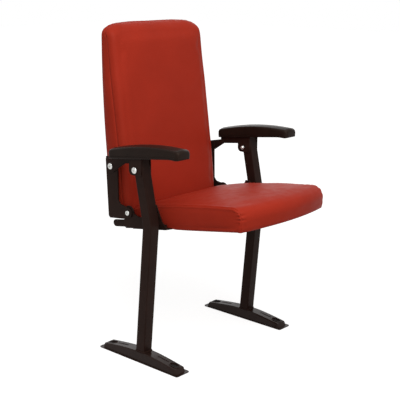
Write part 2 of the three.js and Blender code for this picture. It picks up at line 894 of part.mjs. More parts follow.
const webFrontY = pivotY - webFrontReach;
const flangeInnerX = hingeOuterX - flangeWidth;
const flangeFrontY = pivotY - flangeReach.front;
const flangeRearY = pivotY + flangeReach.rear;
const hingeScrewPlaces = {
  front: flangeFrontY + hingeScrewReach.front,
  rear: flangeRearY - hingeScrewReach.rear,
};

function webShape() {
  const bottom = (y) => seatUnderside(y) + flangeLift;
  const tailHalf = tailRadius * Math.hypot(1, seatSlope);
  return roundedShape([
    [webFrontY, bottom(webFrontY), 0],
    [pivotY, bottom(pivotY), 0],
    [flangeRearY, tailCentre(flangeRearY) - tailHalf, 0],
    [tailEndY, tailCentre(tailEndY) - tailHalf, 0],
    [tailEndY, tailCentre(tailEndY) + tailHalf, 0],
    [pivotY, tailCentre(pivotY) + tailHalf, 0],
    [webFrontY, bottom(webFrontY) + webFrontRise, 0],
  ]);
}

// A slab between two offsets from the cushion's sloping underside, cut to an X and Y outline
function undersideSlab(shape, low, high) {
  const reach = seatCornerDepth + seatBow;
  const rearY = seatRearY + reach;
  const frontY = seatRearY - 2 * reach;
  const band = roundedShape([
    [frontY, seatUnderside(frontY) + low, 0],
    [rearY, seatUnderside(rearY) + low, 0],
    [rearY, seatUnderside(rearY) + high, 0],
    [frontY, seatUnderside(frontY) + high, 0],
  ]);
  const tower = flatSlab(shape, 0, backBottom + backHeight);
  return common(sideSlab(band, -postX, postX), tower);
}

function flangeShape(grow) {
  return roundedShape([
    [flangeInnerX - grow, flangeRearY + grow, 0],
    [flangeInnerX - grow, flangeFrontY - grow, 0],
    [flangeInnerX + flangeNoseWidth + grow, flangeFrontY - grow, 0],
    [hingeOuterX - flangeShoulder.inset + grow, webFrontY - flangeShoulder.run - grow, 0],
    [hingeOuterX, webFrontY - grow, 0],
    [hingeOuterX, flangeRearY + grow, 0],
  ]);
}

function makeHingeArm() {
  const arm = join(
    sideSlab(webShape(), hingeInnerX, hingeOuterX),
    sideSlab(discShape(tailEndY, tailCentre(tailEndY), tailRadius), hingeInnerX, hingeOuterX),
    sideSlab(discShape(pivotY, pivotHeight, pivotBossRadius), hingeInnerX, hingeOuterX),
    undersideSlab(flangeShape(0), flangeLift, flangeLift + hingePlate),
  );
  const pivot = rodAlongX(
    pivotPinRadius + touchGap,
    hingeInnerX - cutOverrun,
    hingeOuterX + cutOverrun,
    pivotY,
    pivotHeight,
  );
  const holes = Object.values(hingeScrewPlaces).map(hingeScrewHole);
  return cut(arm, pivot, ...holes);
}

function hingeScrewHole(y) {
  const radius = screwRadius + boltClearance;
  const low = seatUnderside(y) - cutOverrun;
  const high = seatUnderside(y) + boardLift + seatBoardThickness - screwTipCover;
  return new THREE.CylinderGeometry(radius, radius, high - low, screwSides)
    .rotateX(quarterTurn)
    .translate(flangeInnerX + hingeScrewInset, y, (low + high) / 2);
}

// Pivot: a pin with a flat head inboard, and a bush between the two plates
const pivotHeadRadius = 11;
const pivotHeadHeight = 3;
const pivotBushRadius = 15;

function makePivotPin() {
  const length = bracketOuterX - hingeInnerX;
  const profile = [
    new THREE.Vector2(0, -pivotHeadHeight),
    new THREE.Vector2(pivotHeadRadius, -pivotHeadHeight),
    new THREE.Vector2(pivotHeadRadius, 0),
    new THREE.Vector2(pivotPinRadius, 0),
    new THREE.Vector2(pivotPinRadius, length),
    new THREE.Vector2(0, length),
  ];
  return new THREE.LatheGeometry(profile, roundSides)
    .rotateZ(-quarterTurn)
    .translate(hingeInnerX - touchGap, pivotY, pivotHeight);
}

function makePivotBush() {
  const bore = rodAlongX(
    pivotPinRadius + touchGap,
    hingeInnerX,
    bracketOuterX,
    pivotY,
    pivotHeight,
  );
  const outer = rodAlongX(
    pivotBushRadius,
    hingeOuterX + touchGap,
    seatBracketInnerX - touchGap,
    pivotY,
    pivotHeight,
  );
  return cut(outer, bore);
}

// Seat board and cushion
const seatBoardThickness = 12;
const seatBoardMargin = 16;
const boardLift = flangeLift + hingePlate + touchGap;
const seatRearThickness = 66;
const seatFrontThickness = 70;
const seatThickestShare = 0.38;
const seatFrontRadius = 42;
const seatNoseTuck = 6;
const seatRearRadius = 16;
const seatEdgeRadius = 7;
const seatCrown = 7;
const seatFrontDraw = 7;
const seatSideDraw = 2.5;
const seatSpanSteps = 12;
const seatEdgeSteps = 2;
const seatTopSteps = 7;
const seatRoundSteps = 4;
const seatTaperPowerShare = 2;

// Plan outline of the seat at a margin inside its edge
function seatPlan(margin, cornerRadius) {
  const half = seatHalf - margin;
  const front = seatRearY - seatCornerDepth + margin;
  const shape = new THREE.Shape();
  shape.moveTo(-half, seatRearY - margin);
  shape.lineTo(seatFrontDraw - half, front + cornerRadius);
  shape.quadraticCurveTo(seatFrontDraw - half, front, seatFrontDraw - half + cornerRadius, front);
  shape.quadraticCurveTo(0, front - 2 * seatBow, half - seatFrontDraw - cornerRadius, front);
  shape.quadraticCurveTo(half - seatFrontDraw, front, half - seatFrontDraw, front + cornerRadius);
  shape.lineTo(half, seatRearY - margin);
  shape.closePath();
  return shape;
}

function seatHeightAt(share) {
  const end = share < seatThickestShare ? seatRearThickness : seatFrontThickness;
  const run = share < seatThickestShare ? seatThickestShare : 1 - seatThickestShare;
  const away = (share - seatThickestShare) / run;
  return seatThickness - (seatThickness - end) * away * away;
}

// One Y and Z section of the cushion, as [distance forward, height above the underside]
function seatSection(depth, inset, crown) {
  const points = [];
  const arc = (u, v, radius, from, to) => {
    for (let step = 0; step <= seatRoundSteps; step += 1) {
      const angle = from + ((to - from) * step) / seatRoundSteps;
      points.push([u + radius * Math.cos(angle), v + radius * Math.sin(angle)]);
    }
  };
  const low = inset;
  const frontLow = depth - inset;
  points.push([inset, low]);
  points.push([depth / 2, low]);
  points.push([frontLow - seatNoseTuck, low]);
  const frontRadius = seatFrontRadius - inset;
  const frontTop = seatHeightAt(1 - seatFrontRadius / depth) - inset;
  arc(frontLow - frontRadius, frontTop - frontRadius, frontRadius, 0, quarterTurn);
  for (let step = seatTopSteps - 1; step > 0; step -= 1) {
    const share = step / seatTopSteps;
    const u = seatRearRadius + (depth - seatRearRadius - seatFrontRadius) * share;
    const lift = crown * Math.sin(Math.PI * share);
    points.push([u, seatHeightAt(u / depth) - inset + lift]);
  }
  const rearRadius = seatRearRadius - inset;
  const rearTop = seatHeightAt(seatRearRadius / depth) - inset;
  arc(inset + rearRadius, rearTop - rearRadius, rearRadius, quarterTurn, 2 * quarterTurn);
  return points;
}

function seatRing(x, inset) {
  const across = x / seatHalf;
  const bow = seatBow * (1 - across * across);
  const crown = seatCrown * (1 - across * across);
  const depth = seatCornerDepth + bow;
  return seatSection(depth, inset, crown).map(([u, v]) => {
    const share = u / seatCornerDepth;
    const narrow = seatFrontDraw * Math.max(share, 0) ** seatTaperPowerShare;
    const draw = seatSideDraw * Math.sin(Math.PI * THREE.MathUtils.clamp(share, 0, 1));
    const y = seatRearY - u;
    const half = seatHalf - Math.min(narrow, seatFrontDraw) - draw;
    return new THREE.Vector3(across * half, y, seatUnderside(y) + v);
  });
}

// Places across a width: even steps, then a rounded edge at each side
function spanStations(half, radius, evenSteps, edgeSteps) {
  const stations = [];
  const flat = half - radius;
  for (let step = edgeSteps; step > 0; step -= 1) {
    const angle = (quarterTurn * step) / edgeSteps;
    stations.push([-flat - radius * Math.sin(angle), radius * (1 - Math.cos(angle))]);
  }
  for (let step = 0; step <= evenSteps; step += 1) {
    stations.push([-flat + (2 * flat * step) / evenSteps, 0]);
  }
  const mirrored = stations.slice(0, edgeSteps).map(([x, inset]) => [-x, inset]);
  return stations.concat(mirrored.reverse());
}

function makeSeatCushion() {
  const stations = spanStations(seatHalf, seatEdgeRadius, seatSpanSteps, seatEdgeSteps);
  const body = loft(stations.map(([x, inset]) => seatRing(x, inset)));
  const tools = [
    undersideSlab(
      seatPlan(seatBoardMargin - touchGap, seatFrontRadius),
      -cutOverrun,
      boardLift + seatBoardThickness + touchGap,
    ),
  ];
  [1, -1].forEach((side) => {
    const notch = undersideSlab(flangeShape(2 * touchGap), -cutOverrun, boardLift);
    tools.push(onSide(notch, side));
  });
  return cut(body, ...tools);
}

// The same shape on the other side, with its faces turned to point out again
function onSide(geometry, side) {
  const copy = welded(geometry).scale(side, 1, 1);
  const faces = Array.from(copy.index.array);
  return copy.setIndex(side < 0 ? faces.reverse() : faces);
}

function makeSeatBoard() {
  const board = undersideSlab(
    seatPlan(seatBoardMargin, seatFrontRadius),
    boardLift,
    boardLift + seatBoardThickness,
  );
  const holes = [];
  [1, -1].forEach((side) => {
    Object.values(hingeScrewPlaces).forEach((y) => holes.push(onSide(hingeScrewHole(y), side)));
  });
  return cut(board, ...holes);
}

// Back: a curved cushion over a moulded board, closed by a panel behind
const backLowSlope = 0.05;
const backHighSlope = 0.1;
const backBendRise = 150;
const backBendRun = 90;
const backDepth = 125.5;
const backRearPeakDrop = 58;
const backRearBow = 52;
const backTopRadius = 55;
const backFrontRadius = 23;
const backRearRadius = 10;
const backBottomRadius = 16;
const backCrown = 9;
const backEdgeShare = 1 / 3;
const backTopTaper = 3;
const backSteps = 10;
const backTopSteps = 5;
const backArcSteps = 3;
const backFaceSteps = 6;
const backBoardThickness = 12;
const backPanelThickness = 4.5;
const backPanelProud = 1.5;
const backPanelMargin = 15;
const backPanelCorner = 42;
const spacerRadius = 11;
const topNutDepth = 6;
const topNutRadius = 8;

const backTop = backBottom + backHeight;
const backRearPeakY = backFrontY + backDepth;
const panelInside = backPanelProud - backPanelThickness;
const bracketRoom = 3;
const bracketOutside = panelInside - bracketRoom;
const bracketInside = bracketOutside - backBracketPlate;
const boardOutside = bracketInside - touchGap;
const boardInside = boardOutside - backBoardThickness;

// Front face: nearly upright at the loins, then leaning back
function backFront(z) {
  const above = z - backBottom - backBendRise;
  const ramp = (above + Math.hypot(above, backBendRun)) / 2;
  return backFrontY + backLowSlope * (z - backBottom) + backHighSlope * ramp;
}

function backRear(z) {
  const share = (backTop - backRearPeakDrop - z) / backHeight;
  return backRearPeakY - backRearBow * share * share;
}

function backRing(z, sideInset, faceInset) {
  const share = (z - backBottom) / backHeight;
  const half = backHalf - backTopTaper * share - sideInset;
  const front = backFront(z) + faceInset;
  const rear = backRear(z) - faceInset;
  const crown = backCrown * Math.sqrt(Math.sin(Math.PI * THREE.MathUtils.clamp(share, 0, 1)));
  const most = (rear - front) * backEdgeShare;
  const frontRadius = Math.min(backFrontRadius, most);
  const rearRadius = Math.min(backRearRadius, most);
  const ring = [];
  const corner = (x, y, radius, from) => {
    for (let step = 0; step <= backArcSteps; step += 1) {
      const angle = from + (quarterTurn * step) / backArcSteps;
      ring.push(new THREE.Vector3(x + radius * Math.cos(angle), y + radius * Math.sin(angle), z));
    }
  };
  corner(half - rearRadius, rear - rearRadius, rearRadius, 0);
  corner(rearRadius - half, rear - rearRadius, rearRadius, quarterTurn);
  corner(frontRadius - half, front + crown + frontRadius, frontRadius, 2 * quarterTurn);
  for (let step = 1; step < backFaceSteps; step += 1) {
    const across = (2 * step) / backFaceSteps - 1;
    const x = across * (half - frontRadius);
    ring.push(new THREE.Vector3(x, front + crown * across * across, z));
  }
  corner(half - frontRadius, front + crown + frontRadius, frontRadius, 3 * quarterTurn);
  return ring;
}

function makeBackBody() {
  const rings = [];
  for (let step = 0; step < backArcSteps; step += 1) {
    const angle = (quarterTurn * step) / backArcSteps;
    const inset = backBottomRadius * (1 - Math.sin(angle));
    rings.push(backRing(backBottom + backBottomRadius * (1 - Math.cos(angle)), inset, inset));
  }
  const low = backBottom + backBottomRadius;
  const run = backHeight - backBottomRadius - backTopRadius;
  for (let step = 0; step <= backSteps; step += 1) {
    rings.push(backRing(low + (run * step) / backSteps, 0, 0));
  }
  for (let step = 1; step <= backTopSteps; step += 1) {
    const angle = (quarterTurn * step) / backTopSteps;
    const z = backTop - backTopRadius * (1 - Math.sin(angle));
    const sideInset = backTopRadius * (1 - Math.cos(angle));
    const depth = Math.max(backFrontRadius - (backTop - z), 0);
    const faceInset = backFrontRadius - Math.sqrt(backFrontRadius ** 2 - depth ** 2);
    rings.push(backRing(z, Math.min(sideInset, backTopRadius), faceInset));
  }
  return loft(rings);
}

// A curved slab between two offsets from the rear face, between two heights
function rearSlab(inside, outside, low, high, fromX, toX) {
  const points = [];
  for (let step = 0; step <= backSteps; step += 1) {
    const z = low + ((high - low) * step) / backSteps;
    points.push(new THREE.Vector2(backRear(z) + inside, z));
  }
  for (let step = backSteps; step >= 0; step -= 1) {
    const z = low + ((high - low) * step) / backSteps;
    points.push(new THREE.Vector2(backRear(z) + outside, z));
  }
  return sideSlab(new THREE.Shape(points), fromX, toX);
}

function backPlate(inside, outside, margin) {
  const slab = rearSlab(inside, outside, backBottom, backTop, -backHalf, backHalf);
  const half = backHalf - margin - backTopTaper;
  const outline = roundedShape([
    [-half, backBottom + margin, backPanelMargin],
    [half, backBottom + margin, backPanelMargin],
    [half, backTop - margin, backPanelCorner],
    [-half, backTop - margin, backPanelCorner],
  ]);
  return common(slab, frontSlab(outline, backFrontY - backDepth, backRearPeakY + backDepth));
}

// Back bracket: a side leg on the spacer and the peg, and a rear leg behind the board
const bracketReach = { below: 19, above: 23, front: 12 };
const bracketBossRadius = 14;
const bracketRearLeg = 50.3;
const bracketScrewInset = 14;
const bracketScrewShares = { lower: 0.115, upper: 0.923 };

const bracketLow = pegHeight - bracketReach.below;
const bracketHigh = topBoltHeight + bracketReach.above;
const bracketLegFrontY = topBoltY - bracketReach.front;
const bracketInnerX = backBracketOuterX - bracketRearLeg;
const bracketScrewPlaces = {
  lower: THREE.MathUtils.lerp(pegHeight, topBoltHeight, bracketScrewShares.lower),
  upper: THREE.MathUtils.lerp(pegHeight, topBoltHeight, bracketScrewShares.upper),
};

function makeBackBracket() {
  const outline = [
    new THREE.Vector2(bracketLegFrontY, bracketLow),
    new THREE.Vector2(bracketLegFrontY, bracketHigh),
  ];
  for (let step = backSteps; step >= 0; step -= 1) {
    const z = bracketLow + ((bracketHigh - bracketLow) * step) / backSteps;
    outline.push(new THREE.Vector2(backRear(z) + bracketOutside, z));
  }
  const whole = join(
    sideSlab(new THREE.Shape(outline), backBracketInnerX, backBracketOuterX),
    sideSlab(discShape(topBoltY, topBoltHeight, bracketBossRadius), backBracketInnerX, backBracketOuterX),
    rearSlab(bracketInside, bracketOutside, bracketLow, bracketHigh, bracketInnerX, backBracketOuterX),
    topNut(0),
  );
  const peg = rodAlongX(
    pegRadius + touchGap,
    backBracketInnerX - cutOverrun,
    backBracketOuterX + cutOverrun,
    pegY,
    pegHeight,
  );
  const screws = Object.values(bracketScrewPlaces).map(bracketScrewHole);
  return cut(whole, topBoltHole(), peg, ...screws);
}

// The nut welded inside the side leg, and with a margin the pocket that it needs
function topNut(margin) {
  return rodAlongX(
    topNutRadius + margin,
    backHalf - topNutDepth - margin,
    backBracketInnerX + touchGap,
    topBoltY,
    topBoltHeight,
  );
}

function bracketScrewHole(z) {
  const radius = screwRadius + boltClearance;
  const low = backRear(z) + boardInside + screwTipCover;
  const high = backRear(z);
  return new THREE.CylinderGeometry(radius, radius, high - low, screwSides).translate(
    bracketInnerX + bracketScrewInset,
    (low + high) / 2,
    z,
  );
}

function makeSpacer() {
  const outer = rodAlongX(
    spacerRadius,
    backBracketOuterX + touchGap,
    sidePlateInnerX - touchGap,
    topBoltY,
    topBoltHeight,
  );
  return cut(outer, topBoltHole());
}

const panelScrewRise = 60;
const panelScrewInset = 34;

function panelScrewPlaces() {
  const half = backHalf - panelScrewInset;
  return [
    ["upper", backTop - panelScrewRise, half],
    ["lower", backBottom + panelScrewRise, half - panelScrewInset],
  ];
}

function panelScrewHole(x, z) {
  const radius = screwRadius + boltClearance;
  const low = backRear(z) + boardInside + screwTipCover;
  const high = backRear(z) + backPanelProud + cutOverrun;
  return new THREE.CylinderGeometry(radius, radius, high - low, screwSides).translate(
    x,
    (low + high) / 2,
    z,
  );
}

function panelScrewHoles() {
  const holes = [];
  panelScrewPlaces().forEach(([, z, x]) => {
    holes.push(panelScrewHole(x, z), panelScrewHole(-x, z));
  });
  return holes;
}

// Room in the back for the rear leg of the bracket
function legRoom(side) {
  const leg = rearSlab(
    bracketInside - touchGap,
    cutOverrun,
    bracketLow - touchGap,
    bracketHigh + touchGap,
    bracketInnerX - touchGap,
    backBracketOuterX + cutOverrun,
  );
  return onSide(leg, side);
}

// Room in the back for the welded nut, the bolt and the peg
function boltRoomTools(side) {
  const pegRoom = rodAlongX(
    pegRadius + touchGap,
    backBracketInnerX - pegTail - touchGap,
    backBracketOuterX,
    pegY,
    pegHeight,
  );
  return [topNut(touchGap), pegRoom, topBoltHole()].map((tool) => onSide(tool, side));
}

function makeBackCushion() {
  const pocket = backPlate(boardInside - touchGap, cutOverrun, backPanelMargin - touchGap);
  const tools = [pocket];
  [1, -1].forEach((side) => tools.push(legRoom(side), ...boltRoomTools(side)));
  return cut(makeBackBody(), ...tools);
}

function makeBackBoard() {
  const board = backPlate(boardInside, boardOutside, backPanelMargin);
  const holes = [];
  [1, -1].forEach((side) => {
    Object.values(bracketScrewPlaces).forEach((z) => holes.push(onSide(bracketScrewHole(z), side)));
    holes.push(...boltRoomTools(side));
  });
  return cut(board, ...holes, ...panelScrewHoles());
}

function makeBackPanel() {
  return cut(backPlate(panelInside, backPanelProud, backPanelMargin), ...panelScrewHoles());
}

// Assembly
const chair = new THREE.Group();

function add(group, name, geometry, material) {
  const mesh = new THREE.Mesh(geometry, material);
  mesh.name = name;
  group.add(mesh);
  return mesh;
}

function addPadScrews(group, side) {
  Object.entries(padScrewPlaces).forEach(([place, y]) => {
    const length = padScrewDepth + armPlate - touchGap;
    const geometry = screwGeometry(screwRadius, screwHeadRadius, screwHeadHeight, length, screwSides);
    const screw = add(group, `arm_pad_screw_${place}_${side}`, geometry, brightZinc);
    screw.rotation.x = Math.PI;
    screw.position.set(postX, y, channelTop(y) - armPlate - screwSeatGap);
  });
}

function addHingeScrews(group, side) {
  Object.entries(hingeScrewPlaces).forEach(([place, y]) => {
    const length = boardLift + seatBoardThickness - flangeLift - screwTipCover;
    const geometry = screwGeometry(screwRadius, screwHeadRadius, screwHeadHeight, length, screwSides);
    const screw = add(group, `hinge_screw_${place}_${side}`, geometry, brightZinc);
    screw.rotation.x = Math.PI;
    screw.position.set(flangeInnerX + hingeScrewInset, y, seatUnderside(y) + flangeLift - screwSeatGap);
  });
}

function addBracketScrews(group, side) {
  Object.entries(bracketScrewPlaces).forEach(([place, z]) => {
    const length = backBracketPlate + backBoardThickness - screwTipCover;
    const height = bracketRoom - screwSeatGap - 2 * touchGap;
    const geometry = screwGeometry(screwRadius, screwHeadRadius, height, length, screwSides);
    const screw = add(group, `back_bracket_screw_${place}_${side}`, geometry, brightZinc);
    screw.rotation.x = -quarterTurn;
    const seatY = backRear(z) + bracketOutside + screwSeatGap;
    screw.position.set(bracketInnerX + bracketScrewInset, seatY, z);
  });
}

function addPanelScrews(side, sign) {
  panelScrewPlaces().forEach(([place, z, x]) => {
    const length = backPanelProud - boardInside - screwTipCover;
    const geometry = screwGeometry(screwRadius, screwHeadRadius, screwHeadHeight, length, screwSides);
    const screw = add(chair, `back_panel_screw_${place}_${side}`, geometry, brightZinc);
    screw.rotation.x = -quarterTurn;
    screw.position.set(sign * x, backRear(z) + backPanelProud + screwSeatGap, z);
  });
}

function addFrameBolts(group, side) {
  const armOuterX = channelOuterX + armPlate;
  const postBoltLength = armOuterX - cheekInnerX + boltTail + touchGap;
  const postBolt = boltAlongX(frameBoltHeadRadius, frameBoltHeadHeight, postBoltLength);
  add(group, `post_bolt_${side}`, postBolt, brightZinc).position.set(
    armOuterX + touchGap,
    postBoltY,
    postBoltHeight,
  );
  add(group, `post_dome_nut_${side}`, domeNutAlongX(), brightZinc).position.set(
    cheekInnerX - touchGap,
    postBoltY,
    postBoltHeight,
  );
  const topLength = strapOuterX - backHalf + topNutDepth;
  const topBolt = boltAlongX(frameBoltHeadRadius, frameBoltHeadHeight, topLength);
  add(group, `back_top_bolt_${side}`, topBolt, brightZinc).position.set(
    strapOuterX + touchGap,
    topBoltY,
    topBoltHeight,
  );
  const lowLength = sidePlateOuterX - seatBracketInnerX + nutHeight + touchGap;
  const lowBolt = boltAlongX(lowBoltHeadRadius, frameBoltHeadHeight, lowLength);
  add(group, `back_low_bolt_${side}`, lowBolt, brightZinc).position.set(
    sidePlateOuterX + touchGap,
    lowBoltY,
    lowBoltHeight,
  );
  add(group, `back_low_nut_${side}`, nutAlongX(nutHeight), brightZinc).position.set(
    seatBracketInnerX - touchGap,
    lowBoltY,
    lowBoltHeight,
  );
}

function addSide(side, sign) {
  const group = new THREE.Group();
  group.scale.x = sign;
  chair.add(group);
  add(group, `foot_${side}`, makeFoot(), coatedSteel);
  add(group, `post_${side}`, makePost(), coatedSteel);
  add(group, `arm_bracket_${side}`, makeArmBracket(), coatedSteel);
  add(group, `arm_pad_${side}`, makeArmPad(), armPlastic);
  add(group, `back_upright_${side}`, makeBackUpright(), coatedSteel);
  add(group, `seat_bracket_${side}`, makeSeatBracket(), coatedSteel);
  add(group, `seat_stop_sleeve_${side}`, makeStopSleeve(), blackRubber);
  add(group, `hinge_arm_${side}`, makeHingeArm(), coatedSteel);
  add(group, `pivot_pin_${side}`, makePivotPin(), brightZinc);
  add(group, `pivot_bush_${side}`, makePivotBush(), whiteNylon);
  add(group, `back_bracket_${side}`, makeBackBracket(), coatedSteel);
  add(group, `back_spacer_${side}`, makeSpacer(), coatedSteel);
  addFrameBolts(group, side);
  addPadScrews(group, side);
  addHingeScrews(group, side);
  addBracketScrews(group, side);
  addPanelScrews(side, sign);
}

addSide("left", 1);
addSide("right", -1);
add(chair, "seat_cushion", makeSeatCushion(), redVinyl);
add(chair, "seat_board", makeSeatBoard(), plywood);
add(chair, "back_cushion", makeBackCushion(), redVinyl);
add(chair, "back_board", makeBackBoard(), plywood);
add(chair, "back_panel", makeBackPanel(), backPlastic);

const middle = new THREE.Box3().setFromObject(chair).getCenter(new THREE.Vector3());
chair.position.set(-middle.x, -middle.y, 0);

const model = new THREE.Group();
model.add(chair);

export default model;
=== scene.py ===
"""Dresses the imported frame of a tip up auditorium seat: vinyl covers, moulded arm pads,
coated steel, bright fasteners and a pale studio floor. Shapes are worked in millimetres."""
import json
import math
import random
from functools import cache

import bmesh
import bpy
import numpy as np
from mathutils import Matrix, Vector, kdtree, noise


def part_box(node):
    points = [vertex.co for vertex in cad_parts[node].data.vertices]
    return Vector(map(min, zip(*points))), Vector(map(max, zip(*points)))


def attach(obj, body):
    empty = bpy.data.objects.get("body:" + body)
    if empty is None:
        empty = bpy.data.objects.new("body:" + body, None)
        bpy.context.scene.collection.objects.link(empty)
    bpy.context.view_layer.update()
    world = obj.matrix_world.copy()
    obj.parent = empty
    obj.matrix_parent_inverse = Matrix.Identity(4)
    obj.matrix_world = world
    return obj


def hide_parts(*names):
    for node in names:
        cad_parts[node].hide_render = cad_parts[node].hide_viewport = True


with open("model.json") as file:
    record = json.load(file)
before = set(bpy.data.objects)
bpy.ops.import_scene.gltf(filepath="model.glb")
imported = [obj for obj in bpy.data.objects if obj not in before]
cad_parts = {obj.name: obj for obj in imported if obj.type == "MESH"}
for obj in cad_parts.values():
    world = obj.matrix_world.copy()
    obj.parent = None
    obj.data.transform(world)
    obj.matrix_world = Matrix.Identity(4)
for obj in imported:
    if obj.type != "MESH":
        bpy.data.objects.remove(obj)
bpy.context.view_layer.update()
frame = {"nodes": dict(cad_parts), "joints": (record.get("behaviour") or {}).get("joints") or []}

bl_info = {
    "name": "Tip up seat finishes",
    "version": (1, 0, 0),
    "blender": (4, 5, 0),
    "location": "View3D > Sidebar > Seat",
    "description": "Dresses the frame of a tip up auditorium seat",
    "category": "Object",
}

MM = 0.001
QUARTER = math.pi / 2
TURN = 2 * math.pi
SIDES = {"left": 1, "right": -1}
PIVOT_Y = 20.0
ROW_SHIFT = frame["joints"][0]["pos_m"][1] / MM - PIVOT_Y

# The seat cushion's cover
SEAT_REAR_Y = 95.0
SEAT_DEPTH = 427.0
SEAT_BOW = 30.0
SEAT_HALF = 206.0
SEAT_UNDERSIDE = 407.6
SEAT_SLOPE = 0.16
SEAT_THICK = 77.0
SEAT_REAR_THICK = 66.0
SEAT_FRONT_THICK = 70.0
SEAT_THICKEST = 0.38
SEAT_FRONT_RADIUS = 42.0
SEAT_REAR_RADIUS = 16.0
SEAT_SIDE_RADIUS = 8.0
SEAT_NOSE_TUCK = 1.0
SEAT_NOSE_FOLD = 16.0
SEAT_TAIL_FOLD = 5.0
SEAT_FRONT_LIP = 9.0
SEAT_SIDE_LIP = 2.0
SEAT_LIP_WIDTH = 15.0
SEAT_FRONT_DRAW = 7.0
SEAT_SIDE_DRAW = 2.5
SEAT_CROWN = 7.0

# The pocket for the seat board and the room for the hinge arm's flange
BOARD_MARGIN = 16.0
BOARD_TOP = 17.9
BOARD_RIM = 14.7
BOARD_STEP = 0.6
FLANGE_INNER = 150.0
FLANGE_REAR = 82.0
FLANGE_EDGE = {"y": (-225.0, -70.0, -58.0), "x": (184.0, 196.0, 215.0)}
FLANGE_ROOM = 5.7
FLANGE_EASE = 5.0

# The back cushion's cover
BACK_BOTTOM = 410.0
BACK_HEIGHT = 598.0
BACK_TOP = BACK_BOTTOM + BACK_HEIGHT
BACK_HALF = 207.0
BACK_TAPER = 3.0
BACK_TOP_HALF = BACK_HALF - BACK_TAPER
BACK_FRONT_Y = 102.0
BACK_LOW_LEAN = 0.05
BACK_HIGH_LEAN = 0.1
BACK_BEND_HEIGHT = 150.0
BACK_BEND_EASE = 90.0
BACK_TOP_FALL = 10.0
BACK_FALL_HEIGHT = 50.0
BACK_DEPTH = 125.5
BACK_REAR_BOW = 52.0
BACK_REAR_BOW_TOP = 58.0
BACK_FRONT_RADIUS = 23.0
BACK_REAR_RADIUS = 10.0
BACK_LOW_RADIUS = 17.0
BACK_CORNER = (66.0, 30.0)
BACK_CROWN = 3.5
PANEL_MARGIN = 14.6
PANEL_STEP = 3.0
PANEL_POCKET = 22.0
PANEL_DRAFT = 0.3

# Seams, with their lengths in metres
GROOVE_WIDTH = 0.0017
LIP_PLACE = 0.0045
LIP_WIDTH = 0.003
LIP_SHARE = 0.25
PUCKER_WAVE = 0.019
PUCKER_REACH = 0.010
STRAINED_SIZE = 3.6
STRAINED_WAVE_SHARE = 0.6
BACK_PUCKER_SHARE = 0.7
SEAM_HOLD = 0.9
SEAM_STEPS = 4

# Hem and staples, as heights off the line of the seat's underside
HEM_TOP = 5.15
HEM_FOLD = 4.6
HEM_LOW = 4.1
HEM_TUCK = 0.2
HEM_WAVE = 0.35
HEM_OUTER_MARGIN = 14.0
HEM_INNER_MARGIN = 15.0
HEM_FLANGE_GAP = 3.0
STAPLE = ((-5, 5.0), (-5, 3.9), (-4.4, 3.4), (0, 3.3), (4.4, 3.4), (5, 3.9), (5, 5.0))
STAPLE_RADIUS = 0.4
STAPLE_SWAY = 14

# Arm pads
PAD_REAR_Y = 122.0
PAD_LENGTH = 287.0
PAD_HALF = 27.0
PAD_X = 250.0
PAD_UNDERSIDE = 632.5
PAD_SLOPE = 0.122
PAD_REAR_THICK = 27.0
PAD_NOSE_THICK = 25.0
PAD_THICK = 40.0
PAD_THICKEST = 0.46
PAD_REAR_ROUND = 7.0
PAD_NOSE_ROUND = 13.0
PAD_NOSE_SHARE = 0.6
PAD_DROOP = 4.0
PAD_DROOP_LENGTH = 40.0
PAD_CROWN = 3.0
PAD_FOOT = 2.2
PAD_SEAM = 7.0
PAD_PART = 0.5
PAD_PART_WIDTH = 1.0
PAD_PART_DEPTH = 0.4
PAD_TUCK_SHARE = 0.3

# Feet, each highest under its post
FOOT_MIDDLE_Y = 3.8
FOOT_REAR_Y = 163.2
FOOT_FRONT_Y = -156.8
FOOT_TOP = 30.5
FOOT_FALL = 15.5
FOOT_FLAT = 26.0
FOOT_FALL_POWER = 1.35
SLOT_Y = {"rear": 140.0, "front": -126.0}
SLOT_LENGTH = 33.0
SLOT_WIDTH = 22.0
RIM_RADIUS = 1.3
RIM_LIFT = 0.1

# Welds round the post's foot and round the block between post and seat bracket
POST_WELD_HALF = 17.9
POST_WELD_CORNER = 4.0
POST_WELD_Z = 31.0
BLOCK_Y = (-35.0, -13.0)
BLOCK_Z = (426.0, 466.0)
BLOCK_WELD_X = 232.1

# Fasteners
BOLT_HEADS = {"post_bolt": 10.0, "back_top_bolt": 10.0, "back_low_bolt": 8.0}
BOLT = {"height": 5.0, "shank": 4.0, "socket": 3.4, "kind": "hex"}
SCREW = {"head": 4.6, "height": 1.8, "shank": 2.4, "socket": 2.4, "kind": "cross"}

# Edges of the frame's solids
SHARP_EDGE = math.radians(38)
ROUNDED_EDGE = math.radians(32)
FLAT_WITHIN = math.radians(0.5)

WHITE = (1.0, 1.0, 1.0, 1.0)
WARM_GLOSS = (1.0, 0.80, 0.68, 1.0)
WARM_SKY = (1.0, 0.94, 0.90, 1.0)


def row(point):
    """A point of the seat's own frame in millimetres, as metres in the row frame."""
    return (point[0] * MM, (point[1] + ROW_SHIFT) * MM, point[2] * MM)


def smooth_share(low, high, value):
    """Zero below low, one above high, and a smooth rise between."""
    share = min(max((value - low) / (high - low), 0.0), 1.0)
    return share * share * (3 - 2 * share)


def hump(away, width):
    """One at zero, and nearly zero beyond twice the width."""
    return math.exp(-((away / width) ** 2))


def put(target, **values):
    """Sets several values of one thing, and hands it back."""
    for key, value in values.items():
        setattr(target, key, value)
    return target


# Settings that a user would change

def number_property(name, default, description, low=0.0, high=1.0, **kind):
    return bpy.props.FloatProperty(
        name=name, description=description, default=default, min=low, max=high, **kind)


def length_property(name, default, description):
    return number_property(name, default, description, unit="LENGTH", precision=4)


